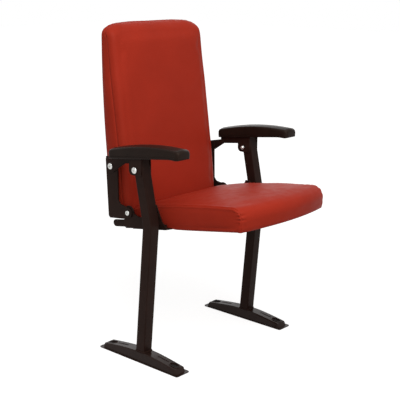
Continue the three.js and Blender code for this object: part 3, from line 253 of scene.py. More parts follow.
def angle_property(name, degrees, description):
    return number_property(name, math.radians(degrees), description, -math.pi, math.pi,
                           unit="ROTATION", subtype="ANGLE")


def power_property(name, default, description):
    return number_property(name, default, description, high=1000.0)


def colour_property(name, default, description):
    return bpy.props.FloatVectorProperty(
        name=name, description=description, default=default, size=3, min=0.0, max=1.0,
        subtype="COLOR")


class CoverSettings(bpy.types.PropertyGroup):
    vinyl: colour_property("Vinyl", (0.388, 0.0300, 0.0145), "Colour of the seat and back covers")
    seat_swell: length_property("Seat swell", 0.004, "Most that the seat cover may puff out")
    back_swell: length_property("Back swell", 0.004, "Most that the back cover may puff out")
    seam_depth: length_property("Seam depth", 0.0022, "Depth of the sewn seams")
    pucker_depth: length_property("Pucker depth", 0.0013, "Depth of the puckers beside the seams")
    pressure: number_property("Pressure", 4.0, "Pressure of the filling while a cover is puffed", high=20.0)
    hem_width: length_property("Hem width", 0.022, "Width of the stapled hem under the seat")
    staple_pitch: length_property("Staple pitch", 0.032, "Distance between staples")


class TrimSettings(bpy.types.PropertyGroup):
    steel: colour_property("Coated steel", (0.0205, 0.0100, 0.0078), "Colour of the coated steel")
    pad: colour_property("Arm pad", (0.0150, 0.0088, 0.0068), "Colour of the moulded arm pads")
    zinc: colour_property("Zinc", (0.62, 0.62, 0.60), "Colour of the plated fasteners")
    board: colour_property("Plywood", (0.36, 0.21, 0.095), "Colour of the boards")
    panel: colour_property("Back panel", (0.0120, 0.0100, 0.0095), "Colour of the rear panel")
    rubber: colour_property("Rubber", (0.012, 0.012, 0.012), "Colour of the stop sleeves")
    nylon: colour_property("Nylon", (0.62, 0.60, 0.54), "Colour of the pivot bushes")
    edge_round: length_property("Edge rounding", 0.0006, "Rounding of the steel plates' edges")
    pad_edge: length_property("Pad edge", 0.008, "Radius along the top of the arm pads")
    weld_size: length_property("Weld size", 0.0024, "Radius of the weld beads")


class StageSettings(bpy.types.PropertyGroup):
    floor: colour_property("Floor", (0.36, 0.36, 0.36), "Colour of the studio floor")
    lens: number_property("Lens", 82.07, "Focal length of the camera in millimetres", 20.0, 200.0)
    azimuth: angle_property("Azimuth", -48.2, "Direction that the camera looks in")
    elevation: angle_property("Elevation", 14.08, "Height of the camera above the level line")
    roll: angle_property("Roll", 0.4, "Turn of the camera about its own line of sight")
    camera_place: bpy.props.FloatVectorProperty(
        name="Camera place", description="Where the camera stands",
        default=(-2.0799, -1.7950, 1.1609), size=3, unit="LENGTH", subtype="TRANSLATION")
    key_power: power_property("Key lamp", 56.0, "Power of the large lamp in watts")
    fill_power: power_property("Fill lamp", 9.0, "Power of the filling lamp in watts")
    rim_power: power_property("Rim lamp", 4.0, "Power of the low lamp behind the seat in watts")
    sky: number_property("Sky", 0.27, "Strength of the even light from all sides", high=4.0)


# Meshes

def add_object(name, data):
    """An object in the scene that shows this data."""
    made = bpy.data.objects.new(name, data)
    bpy.context.scene.collection.objects.link(made)
    return made


def add_piece(name, points, faces, body, slot, material, sharp=None):
    """A shown piece from points in millimetres, on a body of the frame."""
    mesh = bpy.data.meshes.new(name)
    mesh.from_pydata([row(p) for p in points], [], faces)
    bm = bmesh.new()
    bm.from_mesh(mesh)
    bmesh.ops.recalc_face_normals(bm, faces=bm.faces)
    bm.to_mesh(mesh)
    bm.free()
    mesh.polygons.foreach_set("use_smooth", [True] * len(mesh.polygons))
    if sharp is not None:
        mesh.set_sharp_from_angle(angle=math.radians(sharp))
    mesh.materials.append(material)
    piece = add_object(name, mesh)
    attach(piece, body)
    return piece


def ring_faces(ring_count, size, closed=False):
    """Quads between rings of equally many points, and back to the first when closed."""
    faces = []
    for ring in range(ring_count if closed else ring_count - 1):
        here, there = ring * size, ((ring + 1) % ring_count) * size
        for i in range(size):
            j = (i + 1) % size
            faces.append((here + i, here + j, there + j, there + i))
    return faces


def skin(rings, closed=False):
    """Points and faces over rings, with flat ends, or joined end to end when closed."""
    size = len(rings[0])
    points = [tuple(p) for ring in rings for p in ring]
    faces = ring_faces(len(rings), size, closed)
    if not closed:
        faces += [tuple(range(size)), tuple(range(len(points) - size, len(points)))]
    return points, faces


def resample(points, shares):
    """Points at these shares of a line's length."""
    line = np.array(points, float)
    steps = np.linalg.norm(np.diff(line, axis=0), axis=1)
    along = np.concatenate([[0.0], np.cumsum(steps)])
    wanted = np.asarray(shares) * along[-1]
    return np.column_stack([np.interp(wanted, along, column) for column in line.T])


def arc(across, up, radius, start, end, steps=8, rise=None):
    """Points of an arc between two angles in degrees, or of an oval of another height."""
    angles = np.radians(np.linspace(start, end, steps + 1))
    high = rise or radius
    return [(across + radius * math.cos(a), up + high * math.sin(a)) for a in angles]


def patch_inside(loop, columns, rows):
    """The inner points of a patch whose edge is the loop, blended from its four sides."""
    loop = np.array(loop, float)
    low = loop[:columns + 1]
    right = loop[columns:columns + rows + 1]
    high = loop[columns + rows:2 * columns + rows + 1][::-1]
    left = np.vstack([loop[2 * columns + rows:], loop[:1]])[::-1]
    inside = []
    for i in range(1, columns):
        u = i / columns
        for j in range(1, rows):
            v = j / rows
            ruled = (1 - v) * low[i] + v * high[i] + (1 - u) * left[j] + u * right[j]
            corners = ((1 - u) * (1 - v) * low[0] + u * (1 - v) * low[-1]
                       + (1 - u) * v * high[0] + u * v * high[-1])
            inside.append(ruled - corners)
    return inside


def patch_faces(loop_start, inside_start, columns, rows):
    """Quads of the patch that fills a loop of two times columns and rows points."""
    def index(i, j):
        if j == 0:
            return loop_start + i
        if i == columns:
            return loop_start + columns + j
        if j == rows:
            return loop_start + 2 * columns + rows - i
        if i == 0:
            return loop_start + 2 * (columns + rows) - j
        return inside_start + (i - 1) * (rows - 1) + j - 1
    return [(index(i, j), index(i + 1, j), index(i + 1, j + 1), index(i, j + 1))
            for i in range(columns) for j in range(rows)]


def capped_tube(rings, columns, rows):
    """Points and quads of rings in three dimensions, closed by a patch at both ends."""
    size = 2 * (columns + rows)
    points = [tuple(p) for ring in rings for p in ring]
    faces = ring_faces(len(rings), size)
    for ring, start in ((rings[0], 0), (rings[-1], (len(rings) - 1) * size)):
        inside = patch_inside(ring, columns, rows)
        faces += patch_faces(start, len(points), columns, rows)
        points += [tuple(p) for p in inside]
    return points, faces


def tube(line, radius, sides=6):
    """Points and faces of a round bar along a line, closed at both ends."""
    line = [Vector(p) for p in line]
    rings = []
    for number, here in enumerate(line):
        ahead = line[min(number + 1, len(line) - 1)] - line[max(number - 1, 0)]
        turn = ahead.to_track_quat("Z", "Y")
        angles = [TURN * side / sides for side in range(sides)]
        rings.append([here + turn @ Vector((radius * math.cos(a), radius * math.sin(a), 0))
                      for a in angles])
    return skin(rings)


def vertex_values(mesh, kind="co"):
    """The places of a mesh's points, or another vector that each of them has."""
    flat = np.zeros(len(mesh.vertices) * 3)
    mesh.vertices.foreach_get(kind, flat)
    return flat.reshape(-1, 3)


def places_and_normals(piece):
    return vertex_values(piece.data), vertex_values(piece.data, "normal")


def move_vertices(piece, places):
    piece.data.vertices.foreach_set("co", np.asarray(places, float).ravel())
    piece.data.update()


def subdivide(piece):
    """One level of subdivision, kept in the mesh."""
    piece.modifiers.new("Round", "SUBSURF").levels = 1
    shown = piece.evaluated_get(bpy.context.evaluated_depsgraph_get())
    old = piece.data
    piece.data = bpy.data.meshes.new_from_object(shown)
    piece.modifiers.clear()
    piece.data.name = old.name
    bpy.data.meshes.remove(old)


# Finishes

def fill(node, inputs):
    """Joins sockets and sets values at a node's inputs, and hands the node back."""
    for key, value in inputs.items():
        if isinstance(value, bpy.types.NodeSocket):
            node.id_data.links.new(value, node.inputs[key])
        else:
            node.inputs[key].default_value = value
    return node


def add_node(tree, kind, inputs=None, **values):
    """A new node of a tree, with its values set and its inputs filled."""
    return fill(put(tree.nodes.new(kind), **values), inputs or {})


def shade(colour, factor):
    """The colour times a factor, with nothing let through."""
    return (*[min(1.0, channel * factor) for channel in colour], 1.0)


def trim_colour(name):
    return tuple(getattr(bpy.context.scene.seat_trim, name))


class Finish:
    """One material, with short ways to add its nodes."""

    def __init__(self, name):
        self.material = bpy.data.materials.new(name)
        self.material.use_nodes = True
        self.tree = self.material.node_tree
        self.shader = self.tree.nodes["Principled BSDF"]
        self.place = add_node(self.tree, "ShaderNodeTexCoord").outputs["Object"]

    def stretched(self, scale):
        mapping = add_node(self.tree, "ShaderNodeMapping", {"Scale": scale, "Vector": self.place})
        return mapping.outputs["Vector"]

    def noise(self, scale, detail, roughness=0.5, distortion=0.0, place=None):
        return add_node(self.tree, "ShaderNodeTexNoise", {
            "Scale": scale, "Detail": detail, "Roughness": roughness, "Distortion": distortion,
            "Vector": place or self.place}).outputs["Fac"]

    def cells(self, scale, feature="F1"):
        inputs = {"Scale": scale, "Vector": self.place}
        return add_node(self.tree, "ShaderNodeTexVoronoi", inputs, feature=feature).outputs["Distance"]

    def spread(self, source, low, high, start=0.3, end=0.7):
        """Maps a source from start to end onto low to high."""
        return add_node(self.tree, "ShaderNodeMapRange", {
            "Value": source, "From Min": start, "From Max": end,
            "To Min": low, "To Max": high}).outputs["Result"]

    def share(self, source, start, end):
        """How far a source has come from start to end, as 0 to 1."""
        return self.spread(source, 0.0, 1.0, start, end)

    def math(self, operation, first, second):
        inputs = {0: first, 1: second}
        return add_node(self.tree, "ShaderNodeMath", inputs, operation=operation).outputs[0]

    def blend(self, share, first, second):
        inputs = {"Factor": share, "A": first, "B": second}
        return add_node(self.tree, "ShaderNodeMix", inputs, data_type="RGBA").outputs["Result"]

    def tones(self, source, colour, dark, light, start=0.3, end=0.7):
        """The colour, made darker and lighter by a source."""
        return self.blend(self.share(source, start, end), shade(colour, dark), shade(colour, light))

    def worn(self, tone, colour, lighter, amount, start, end, cover=1.0):
        """The tone with a lighter colour along its raised edges, under a cover of scuffs."""
        raised = add_node(self.tree, "ShaderNodeNewGeometry").outputs["Pointiness"]
        edges = self.math("MULTIPLY", self.share(raised, start, end), cover)
        return self.blend(self.math("MULTIPLY", edges, amount), tone, shade(colour, lighter))

    def bump(self, height, strength, distance, below=None):
        inputs = {"Strength": strength, "Distance": distance, "Height": height}
        if below:
            inputs["Normal"] = below
        return add_node(self.tree, "ShaderNodeBump", inputs).outputs["Normal"]

    def finished(self, **inputs):
        """The material, once its shader has these inputs."""
        fill(self.shader, {key.replace("_", " "): value for key, value in inputs.items()})
        return self.material


@cache
def vinyl_finish():
    finish = Finish("Red vinyl")
    colour = tuple(bpy.context.scene.seat_covers.vinyl)
    patches = finish.noise(9.0, detail=4.0)
    tone = finish.tones(patches, colour, dark=0.95, light=1.03, start=0.35, end=0.65)
    # Painted shade: the vinyl's tone is painted darker away from the middle of each grain cell, down to
    # 0.88 of its brightness.
    grain_shade = add_node(finish.tree, "ShaderNodeHueSaturation", {"Value": 0.88, "Color": tone})
    grain = finish.cells(760.0, "SMOOTH_F1")
    shaded_grain = finish.blend(finish.share(grain, start=0.25, end=0.75), tone, grain_shade.outputs["Color"])
    slow = finish.bump(finish.noise(60.0, detail=3.0), strength=0.10, distance=0.001)
    creases = finish.bump(finish.noise(420.0, detail=4.0, roughness=0.6, distortion=0.4),
                          strength=0.10, distance=0.0003, below=slow)
    return finish.finished(
        Base_Color=shaded_grain, Roughness=finish.spread(finish.noise(35.0, detail=5.0), low=0.42, high=0.56),
        Normal=finish.bump(grain, strength=0.16, distance=0.0003, below=creases),
        Specular_IOR_Level=0.07, Specular_Tint=WARM_GLOSS)


def coated(name, smooth, rough, peel, **more):
    """Powder coat: a slight orange peel, uneven gloss and lighter worn edges."""
    finish = Finish(name)
    colour = trim_colour("steel")
    tone = finish.tones(finish.noise(14.0, detail=4.0), colour, dark=0.88, light=1.12)
    scuffs = finish.share(finish.noise(60.0, detail=5.0), start=0.4, end=0.7)
    dust = finish.noise(30.0, detail=6.0, roughness=0.6)
    return finish.finished(
        Base_Color=finish.worn(tone, colour, lighter=2.6, amount=0.5, start=0.52, end=0.62, cover=scuffs),
        Roughness=finish.spread(dust, smooth, rough),
        Normal=finish.bump(finish.noise(520.0, detail=2.0), strength=peel, distance=0.0002),
        Specular_IOR_Level=0.06, Specular_Tint=WARM_GLOSS, **more)


@cache
def steel_finish():
    return coated("Brown coated steel", smooth=0.34, rough=0.5, peel=0.25)


@cache
def foot_finish():
    return coated("Glossy coated feet", smooth=0.2, rough=0.34, peel=0.15,
                  Coat_Weight=0.16, Coat_Roughness=0.08)


@cache
def pad_finish():
    finish = Finish("Moulded pad")
    colour = trim_colour("pad")
    tone = finish.tones(finish.noise(20.0, detail=4.0), colour, dark=0.85, light=1.15)
    grain = finish.bump(finish.cells(900.0), strength=0.05, distance=0.0002)
    return finish.finished(
        Base_Color=finish.worn(tone, colour, lighter=2.2, amount=0.35, start=0.51, end=0.6),
        Roughness=finish.spread(finish.noise(40.0, detail=5.0), low=0.26, high=0.36),
        Normal=finish.bump(finish.noise(120.0, detail=4.0), strength=0.06, distance=0.0005, below=grain),
        Specular_IOR_Level=0.08, Specular_Tint=WARM_GLOSS)


@cache
def zinc_finish():
    finish = Finish("Bright zinc")
    brushed = finish.noise(900.0, detail=2.0, place=finish.stretched((1.0, 0.2, 1.0)))
    patches = finish.noise(160.0, detail=4.0)
    return finish.finished(
        Base_Color=finish.tones(patches, trim_colour("zinc"), dark=0.82, light=1.1),
        Roughness=finish.spread(finish.noise(240.0, detail=5.0), low=0.16, high=0.34),
        Normal=finish.bump(brushed, strength=0.05, distance=0.0001), Metallic=1.0)


@cache
def plywood_finish():
    """Birch veneer, with long grain and broad growth rings."""
    finish = Finish("Plywood")
    grain = finish.noise(160.0, detail=6.0, roughness=0.6, distortion=0.8,
                         place=finish.stretched((1.0, 0.05, 0.3)))
    rings = finish.noise(14.0, detail=3.0, distortion=1.5, place=finish.stretched((1.0, 0.12, 0.5)))
    streaks = finish.math("ADD", finish.math("MULTIPLY", grain, 0.6), finish.math("MULTIPLY", rings, 0.4))
    return finish.finished(
        Base_Color=finish.tones(streaks, trim_colour("board"), dark=0.7, light=1.2, start=0.35, end=0.65),
        Roughness=finish.spread(grain, low=0.55, high=0.72),
        Normal=finish.bump(grain, strength=0.25, distance=0.0004))


@cache
def panel_finish():
    """Moulded panel with a pebbled grain and faint scuffs."""
    finish = Finish("Moulded rear panel")
    scuffs = finish.noise(22.0, detail=7.0, roughness=0.65, place=finish.stretched((1.0, 1.0, 0.35)))
    pebbles = finish.bump(finish.cells(520.0, "SMOOTH_F1"), strength=0.35, distance=0.0004)
    return finish.finished(
        Base_Color=finish.tones(scuffs, trim_colour("panel"), dark=0.9, light=1.6, start=0.4, end=0.75),
        Roughness=finish.spread(scuffs, low=0.42, high=0.6),
        Normal=finish.bump(finish.noise(900.0, detail=3.0), strength=0.15, distance=0.0002, below=pebbles))


def plain_moulding(name, trim, roughness, grain, uneven=0.08):
    """A plain moulded or turned plastic, a little uneven in tone and gloss."""
    finish = Finish(name)
    patches = finish.noise(60.0, detail=4.0)
    return finish.finished(
        Base_Color=finish.tones(patches, trim_colour(trim), dark=0.88, light=1.08),
        Roughness=finish.spread(patches, roughness - uneven, roughness + uneven),
        Normal=finish.bump(finish.noise(700.0, detail=3.0), strength=grain, distance=0.0002))


@cache
def rubber_finish():
    return plain_moulding("Black rubber", "rubber", roughness=0.75, grain=0.3)


@cache
def nylon_finish():
    return plain_moulding("White nylon", "nylon", roughness=0.4, grain=0.1)


TURNED_FINISHES = {
    "bright_zinc": zinc_finish, "white_nylon": nylon_finish,
    "black_rubber": rubber_finish, "coated_steel": steel_finish,
}


# Covers

def puff(piece, held, pressure, limit, frames=20):
    """Draws a cover in and swells it again by cloth pressure, with every move capped."""
    drawn_share, inward_share = 0.6, 0.25
    base, normals = places_and_normals(piece)
    free = 1.0 - np.asarray(held, float)
    move_vertices(piece, base - normals * (free * limit * drawn_share)[:, None])
    group = piece.vertex_groups.new(name="held")
    for index, weight in enumerate(held):
        if weight > 0:
            group.add([index], float(weight), "REPLACE")
    cloth = piece.modifiers.new("Filling", "CLOTH")
    put(cloth.settings, quality=6, mass=0.25, tension_stiffness=18, compression_stiffness=18,
        shear_stiffness=8, bending_stiffness=1.5, use_pressure=True,
        uniform_pressure_force=pressure, vertex_group_mass=group.name)
    cloth.settings.effector_weights.gravity = 0.0
    cloth.collision_settings.use_collision = False
    scene = bpy.context.scene
    for number in range(1, frames + 1):
        scene.frame_set(number)
    shown = piece.evaluated_get(bpy.context.evaluated_depsgraph_get())
    moved = vertex_values(shown.data) - base
    scene.frame_set(1)
    piece.modifiers.remove(cloth)
    piece.vertex_groups.remove(group)
    outward = (moved * normals).sum(axis=1)
    inward_limit = limit * inward_share
    eased = np.where(outward > 0, limit * np.tanh(outward / limit),
                     inward_limit * np.tanh(outward / inward_limit))
    sideways = moved - normals * outward[:, None]
    far = np.maximum(np.linalg.norm(sideways, axis=1), 1e-9)
    share = inward_limit * np.tanh(far / inward_limit) / far
    move_vertices(piece, base + normals * eased[:, None] + sideways * share[:, None])


def seam_line(places, indices, closed):
    """A close line of points along a seam, each with its distance from the start."""
    chosen = [Vector(places[i]) for i in indices]
    if closed:
        chosen.append(chosen[0])
    line, run = [], 0.0
    for here, there in zip(chosen, chosen[1:]):
        length = (there - here).length
        for step in range(SEAM_STEPS):
            line.append((here.lerp(there, step / SEAM_STEPS), run + length * step / SEAM_STEPS))
        run += length
    return line


def fill_cover(piece, held, seams, swell, closed=False):
    """Swells a cover held at its seams, rounds its mesh, and gives the lines of the seams."""
    for seam in seams:
        held[seam] = SEAM_HOLD
    puff(piece, held, bpy.context.scene.seat_covers.pressure, swell)
    places = vertex_values(piece.data)
    lines = [seam_line(places, seam, closed) for seam in seams]
    subdivide(piece)
    return lines


def sew(piece, lines, seam_depth, pucker_depth, strain=None):
    """Presses the seams in and puckers the vinyl beside them, more where it is strained."""
    usual_size, size_swing, wander, sharpness = 0.55, 0.9, 3.5, 1.6
    tree = kdtree.KDTree(sum(len(line) for line in lines))
    runs = []
    for number, line in enumerate(lines):
        for point, run in line:
            tree.insert(point, len(runs))
            runs.append((run, number))
    tree.balance()
    places, normals = places_and_normals(piece)
    for i, place in enumerate(places):
        _, index, away = tree.find(place)
        if away > 5 * PUCKER_REACH:
            continue
        run, number = runs[index]
        pull = strain(place) if strain else 0.0
        drift = noise.noise(Vector((run * 21, number * 7.3, 0.5)))
        size = max(0.0, usual_size + size_swing * noise.noise(Vector((run * 13, number * 3.1, 4.2))))
        size = size * (1 - pull) + STRAINED_SIZE * pull
        length = PUCKER_WAVE * (1 if pull < 0.5 else STRAINED_WAVE_SHARE)
        ripple = (0.5 + 0.5 * math.sin(TURN * run / length + wander * drift)) ** sharpness
        fade = math.exp(-away / PUCKER_REACH) * (1 - hump(away, LIP_WIDTH))
        lip = LIP_SHARE * seam_depth * hump(away - LIP_PLACE, LIP_WIDTH)
        groove = seam_depth * hump(away, GROOVE_WIDTH)
        places[i] += normals[i] * (lip - groove - pucker_depth * size * ripple * fade)
    move_vertices(piece, places)


def hand_made(piece, depth, size, seed, free):
    """Slow unevenness, as pulled vinyl over foam has, where the cover is free."""
    places, normals = places_and_normals(piece)
    shift = Vector((seed * 3.7, seed * 1.3, seed * 2.9))
    moves = np.array([noise.noise(Vector(p) / size + shift) for p in places]) * depth
    move_vertices(piece, places + normals * (moves * free(places))[:, None])


# Seat cover

def seat_underside(y):
    return SEAT_UNDERSIDE - SEAT_SLOPE * y


def seat_height(share):
    """Thickness of the seat at a share of its depth from behind."""
    if share < SEAT_THICKEST:
        away, end = (share - SEAT_THICKEST) / SEAT_THICKEST, SEAT_REAR_THICK
    else:
        away, end = (share - SEAT_THICKEST) / (1 - SEAT_THICKEST), SEAT_FRONT_THICK
    return SEAT_THICK - (SEAT_THICK - end) * away * away


def seat_section(depth, inset, crown, columns, rows):
    """One closed section, as distance forward and height above the underside."""
    heel, sole = inset + SEAT_TAIL_FOLD, inset + SEAT_NOSE_FOLD
    front, rear = SEAT_FRONT_RADIUS - inset, SEAT_REAR_RADIUS - inset
    front_top = seat_height(1 - SEAT_FRONT_RADIUS / depth) - inset
    rear_top = seat_height(SEAT_REAR_RADIUS / depth) - inset
    reach = depth - inset
    toe = reach - SEAT_NOSE_TUCK - SEAT_NOSE_FOLD
    brow = (reach - front, front_top - front)
    bottom = arc(heel, heel, SEAT_TAIL_FOLD, 225, 270) + arc(toe, sole, SEAT_NOSE_FOLD, 270, 315)
    nose = arc(toe, sole, SEAT_NOSE_FOLD, 315, 356) + arc(*brow, front, -2, 45)
    top = arc(*brow, front, 45, 90, 16)
    for share in np.linspace(1, 0, 30)[1:-1]:
        u = SEAT_REAR_RADIUS + (depth - SEAT_REAR_RADIUS - SEAT_FRONT_RADIUS) * share
        top.append((u, seat_height(u / depth) - inset + crown * math.sin(math.pi * share)))
    top += arc(inset + rear, rear_top - rear, rear, 90, 135)
    tail = arc(inset + rear, rear_top - rear, rear, 135, 180) + arc(heel, heel, SEAT_TAIL_FOLD, 180, 225)
    rim, step = BOARD_RIM / depth, BOARD_STEP / depth
    inner = np.linspace(rim + step, 1 - rim - step, columns - 3)
    along = np.concatenate([[0, rim / 2, rim], inner])
    up = np.linspace(0, 1, rows + 1)[:-1]
    back_along = 1 - np.concatenate([along, [1.0]])[::-1]
    return np.vstack([resample(bottom, along), resample(nose, up),
                      resample(top, back_along[:-1]), resample(tail, up)])


def under_flange(x, y):
    """How far a point lies inside the hinge arm's flange, from zero to one."""
    outer = np.interp(y, FLANGE_EDGE["y"], FLANGE_EDGE["x"])
    inside = min(outer - abs(x), y - FLANGE_EDGE["y"][0], FLANGE_REAR - y)
    return smooth_share(-FLANGE_EASE, 0.0, inside)


def seat_point(across, u, v):
    """A point of the seat from its place across, its distance forward and its height."""
    share = max(u / SEAT_DEPTH, 0.0)
    narrow = min(SEAT_FRONT_DRAW * share ** 2, SEAT_FRONT_DRAW)
    draw = SEAT_SIDE_DRAW * math.sin(math.pi * min(share, 1.0))
    y = SEAT_REAR_Y - u
    x = across * (SEAT_HALF - narrow - draw)
    if v < FLANGE_ROOM:
        v += (FLANGE_ROOM - v) * under_flange(x, y)
    return (x, y, seat_underside(y) + v)


def seat_lip(x, u, v, depth):
    """How far the padded rim hangs below the board, at the front and at the sides."""
    start, full = SEAT_LIP_WIDTH, 0.4 * SEAT_LIP_WIDTH
    front = SEAT_FRONT_LIP * smooth_share(depth - start, depth - full, u)
    side = SEAT_SIDE_LIP * smooth_share(SEAT_HALF - start, SEAT_HALF - full, abs(x))
    return max(front, side) * (1 - smooth_share(0.0, 2 * start, v))


def seat_stations(inner_count):
    """Places across the seat with their edge insets: the rounded edge, the rim, the middle."""
    half = [(SEAT_HALF - SEAT_SIDE_RADIUS + SEAT_SIDE_RADIUS * math.sin(math.radians(a)),
             SEAT_SIDE_RADIUS * (1 - math.cos(math.radians(a)))) for a in (90, 72, 57, 45, 33, 18, 0)]
    rim = SEAT_HALF - BOARD_MARGIN
    half.append((rim, 0.0))
    middle = np.linspace(rim - BOARD_STEP, BOARD_STEP - rim, inner_count)
    return half + [(x, 0.0) for x in middle] + [(-x, inset) for x, inset in half[::-1]]


def seat_mesh(columns, rows, inner_count=36):
    """Points and faces of the seat's cover, and how many rings it has from side to side."""
    rings = []
    pocket = SEAT_HALF - BOARD_MARGIN - BOARD_STEP / 2
    for x, inset in seat_stations(inner_count):
        across = x / SEAT_HALF
        bow = 1 - across * across
        depth = SEAT_DEPTH + SEAT_BOW * bow
        section = seat_section(depth, inset, SEAT_CROWN * bow, columns, rows)
        if abs(x) < pocket:
            section[3:columns - 2, 1] = BOARD_TOP
        rings.append([seat_point(across, u, v - seat_lip(x, u, v, depth)) for u, v in section])
    return *capped_tube(rings, columns, rows), len(rings)


def seat_free(places):
    """One on the top and sides of the seat, and zero on its underside."""
    start, ease = 0.012, 0.010
    under = (SEAT_UNDERSIDE - SEAT_SLOPE * (places[:, 1] / MM - ROW_SHIFT)) * MM
    return np.clip((places[:, 2] - under - start) / ease, 0, 1)


def seat_corner_strain(place):
    """How hard the vinyl gathers where the side seams turn down in front, less on the left."""
    behind_front, above_board, reach, full, left_pull = 12.0, 46.0, 34.0, 12.0, 0.4
    y = place[1] / MM - ROW_SHIFT
    front = SEAT_REAR_Y - SEAT_DEPTH
    height = place[2] / MM - seat_underside(y)
    away = math.hypot(y - front - behind_front, height - above_board)
    pull = 1.0 if place[0] < 0 else left_pull
    return pull * smooth_share(-reach, -full, -away)


class SEAT_OT_seat_cover(bpy.types.Operator):
    """Sews and fills the seat cushion's vinyl cover"""
    bl_idname = "seat.seat_cover"
    bl_label = "Seat cover"

    def execute(self, context):
        settings = context.scene.seat_covers
        columns, rows, seam_ring = 42, 16, 3
        points, faces, ring_count = seat_mesh(columns, rows)
        piece = add_piece("seat_cover", points, faces, "seat", "seat_vinyl", vinyl_finish())
        size = 2 * (columns + rows)
        held = np.zeros(len(points))
        for ring in range(ring_count):
            held[ring * size:ring * size + columns + 1] = 1.0
        seams = [list(range(ring * size + columns, (ring + 1) * size))
                 for ring in (seam_ring, ring_count - 1 - seam_ring)]
        lines = fill_cover(piece, held, seams, settings.seat_swell)
        hand_made(piece, depth=0.0011, size=0.09, seed=1, free=seat_free)
        sew(piece, lines, settings.seam_depth, settings.pucker_depth, seat_corner_strain)
        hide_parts("seat_cushion")
        return {"FINISHED"}


# Back cover

def back_front(z):
    """Where the front face stands at a height: upright below, then leaning further back."""
    above = z - BACK_BOTTOM - BACK_BEND_HEIGHT
    ramp = (above + math.hypot(above, BACK_BEND_EASE)) / 2
    fall = BACK_TOP_FALL * smooth_share(BACK_TOP - BACK_FALL_HEIGHT, BACK_TOP, z)
    return BACK_FRONT_Y + BACK_LOW_LEAN * (z - BACK_BOTTOM) + BACK_HIGH_LEAN * ramp + fall


def back_rear(z):
    share = (BACK_TOP - BACK_REAR_BOW_TOP - z) / BACK_HEIGHT
    return BACK_FRONT_Y + BACK_DEPTH - BACK_REAR_BOW * share * share


def back_face(x, z):
    """Where the crowned front face stands: it falls back from its middle towards the sides."""
    share = min(max((z - BACK_BOTTOM) / BACK_HEIGHT, 0.0), 1.0)
    across = min(abs(x) / (BACK_HALF - BACK_FRONT_RADIUS), 1.0)
    return back_front(z) + BACK_CROWN * math.sqrt(math.sin(math.pi * share)) * across * across


def back_outline(columns, rows):
    """The front view's rounded outline, as points with their outward directions."""
    low, (wide, rise) = BACK_LOW_RADIUS, BACK_CORNER
    corners = [
        (-BACK_HALF + low, BACK_BOTTOM + low, low, low, 180),
        (BACK_HALF - low, BACK_BOTTOM + low, low, low, 270),
        (BACK_TOP_HALF - wide, BACK_TOP - rise, wide, rise, 0),
        (wide - BACK_TOP_HALF, BACK_TOP - rise, wide, rise, 90)]
    pieces = []
    for number, (across, up, radius, high, start) in enumerate(corners):
        next_across, next_up, next_radius, next_high, next_start = corners[(number + 1) % 4]
        leave = arc(across, up, radius, start + 45, start + 90, 10, high)
        meet = arc(next_across, next_up, next_radius, next_start, next_start + 45, 10, next_high)
        pieces.append(leave + meet)
    loop = np.vstack([
        resample(piece, np.linspace(0, 1, count + 1)[:-1])
        for piece, count in zip(pieces, (columns, rows, columns, rows))])
    ahead = np.roll(loop, -1, axis=0) - np.roll(loop, 1, axis=0)
    ahead /= np.linalg.norm(ahead, axis=1)[:, None]
    return loop, np.column_stack([ahead[:, 1], -ahead[:, 0]])


def back_rings(columns, rows):
    """Rings from the front face's edge over the side to the pocket behind."""
    loop, outward = back_outline(columns, rows)
    front, rear = BACK_FRONT_RADIUS, BACK_REAR_RADIUS
    seam_places = (3.2, 4.8, 6.4)
    rings = []

    def add_ring(inset, place):
        ring = []
        for (x, z), (out_x, out_z) in zip(loop, outward):
            x, z = x - out_x * inset, z - out_z * inset
            ring.append((x, place(x, z), z))
        rings.append(ring)

    def add_rear_ring(inset, ahead):
        add_ring(inset, lambda x, z: back_rear(z) - ahead)

    for angle in np.radians((0, 18, 36, 54, 72, 90)):
        run = front * (1 - math.cos(angle))
        add_ring(front * (1 - math.sin(angle)), lambda x, z: back_face(x, z) + run)
    for run in seam_places:
        add_ring(0, lambda x, z: back_face(x, z) + front + run)
    for share in np.linspace(0, 1, 9)[1:]:
        def side(x, z):
            start = back_face(x, z) + front + seam_places[-1]
            return start + (back_rear(z) - rear - start) * share
        add_ring(0, side)
    for angle in np.radians((30, 60, 90)):
        add_rear_ring(rear * (1 - math.cos(angle)), rear * (1 - math.sin(angle)))
    for step, ahead in enumerate((0.0, PANEL_STEP, PANEL_POCKET)):
        add_rear_ring(PANEL_MARGIN + PANEL_DRAFT * step, ahead)
    return rings


def back_mesh(columns, rows):
    """Points and faces of the back's cover, its ring count and the first point of its rear cap."""
    rings = back_rings(columns, rows)
    points, faces = capped_tube(rings, columns, rows)
    front_cap = len(rings) * 2 * (columns + rows)
    rear_cap = front_cap + (columns - 1) * (rows - 1)
    for index in range(front_cap, len(points)):
        x, _, z = points[index]
        y = back_face(x, z) if index < rear_cap else back_rear(z) - PANEL_POCKET
        points[index] = (x, y, z)
    return points, faces, len(rings), rear_cap


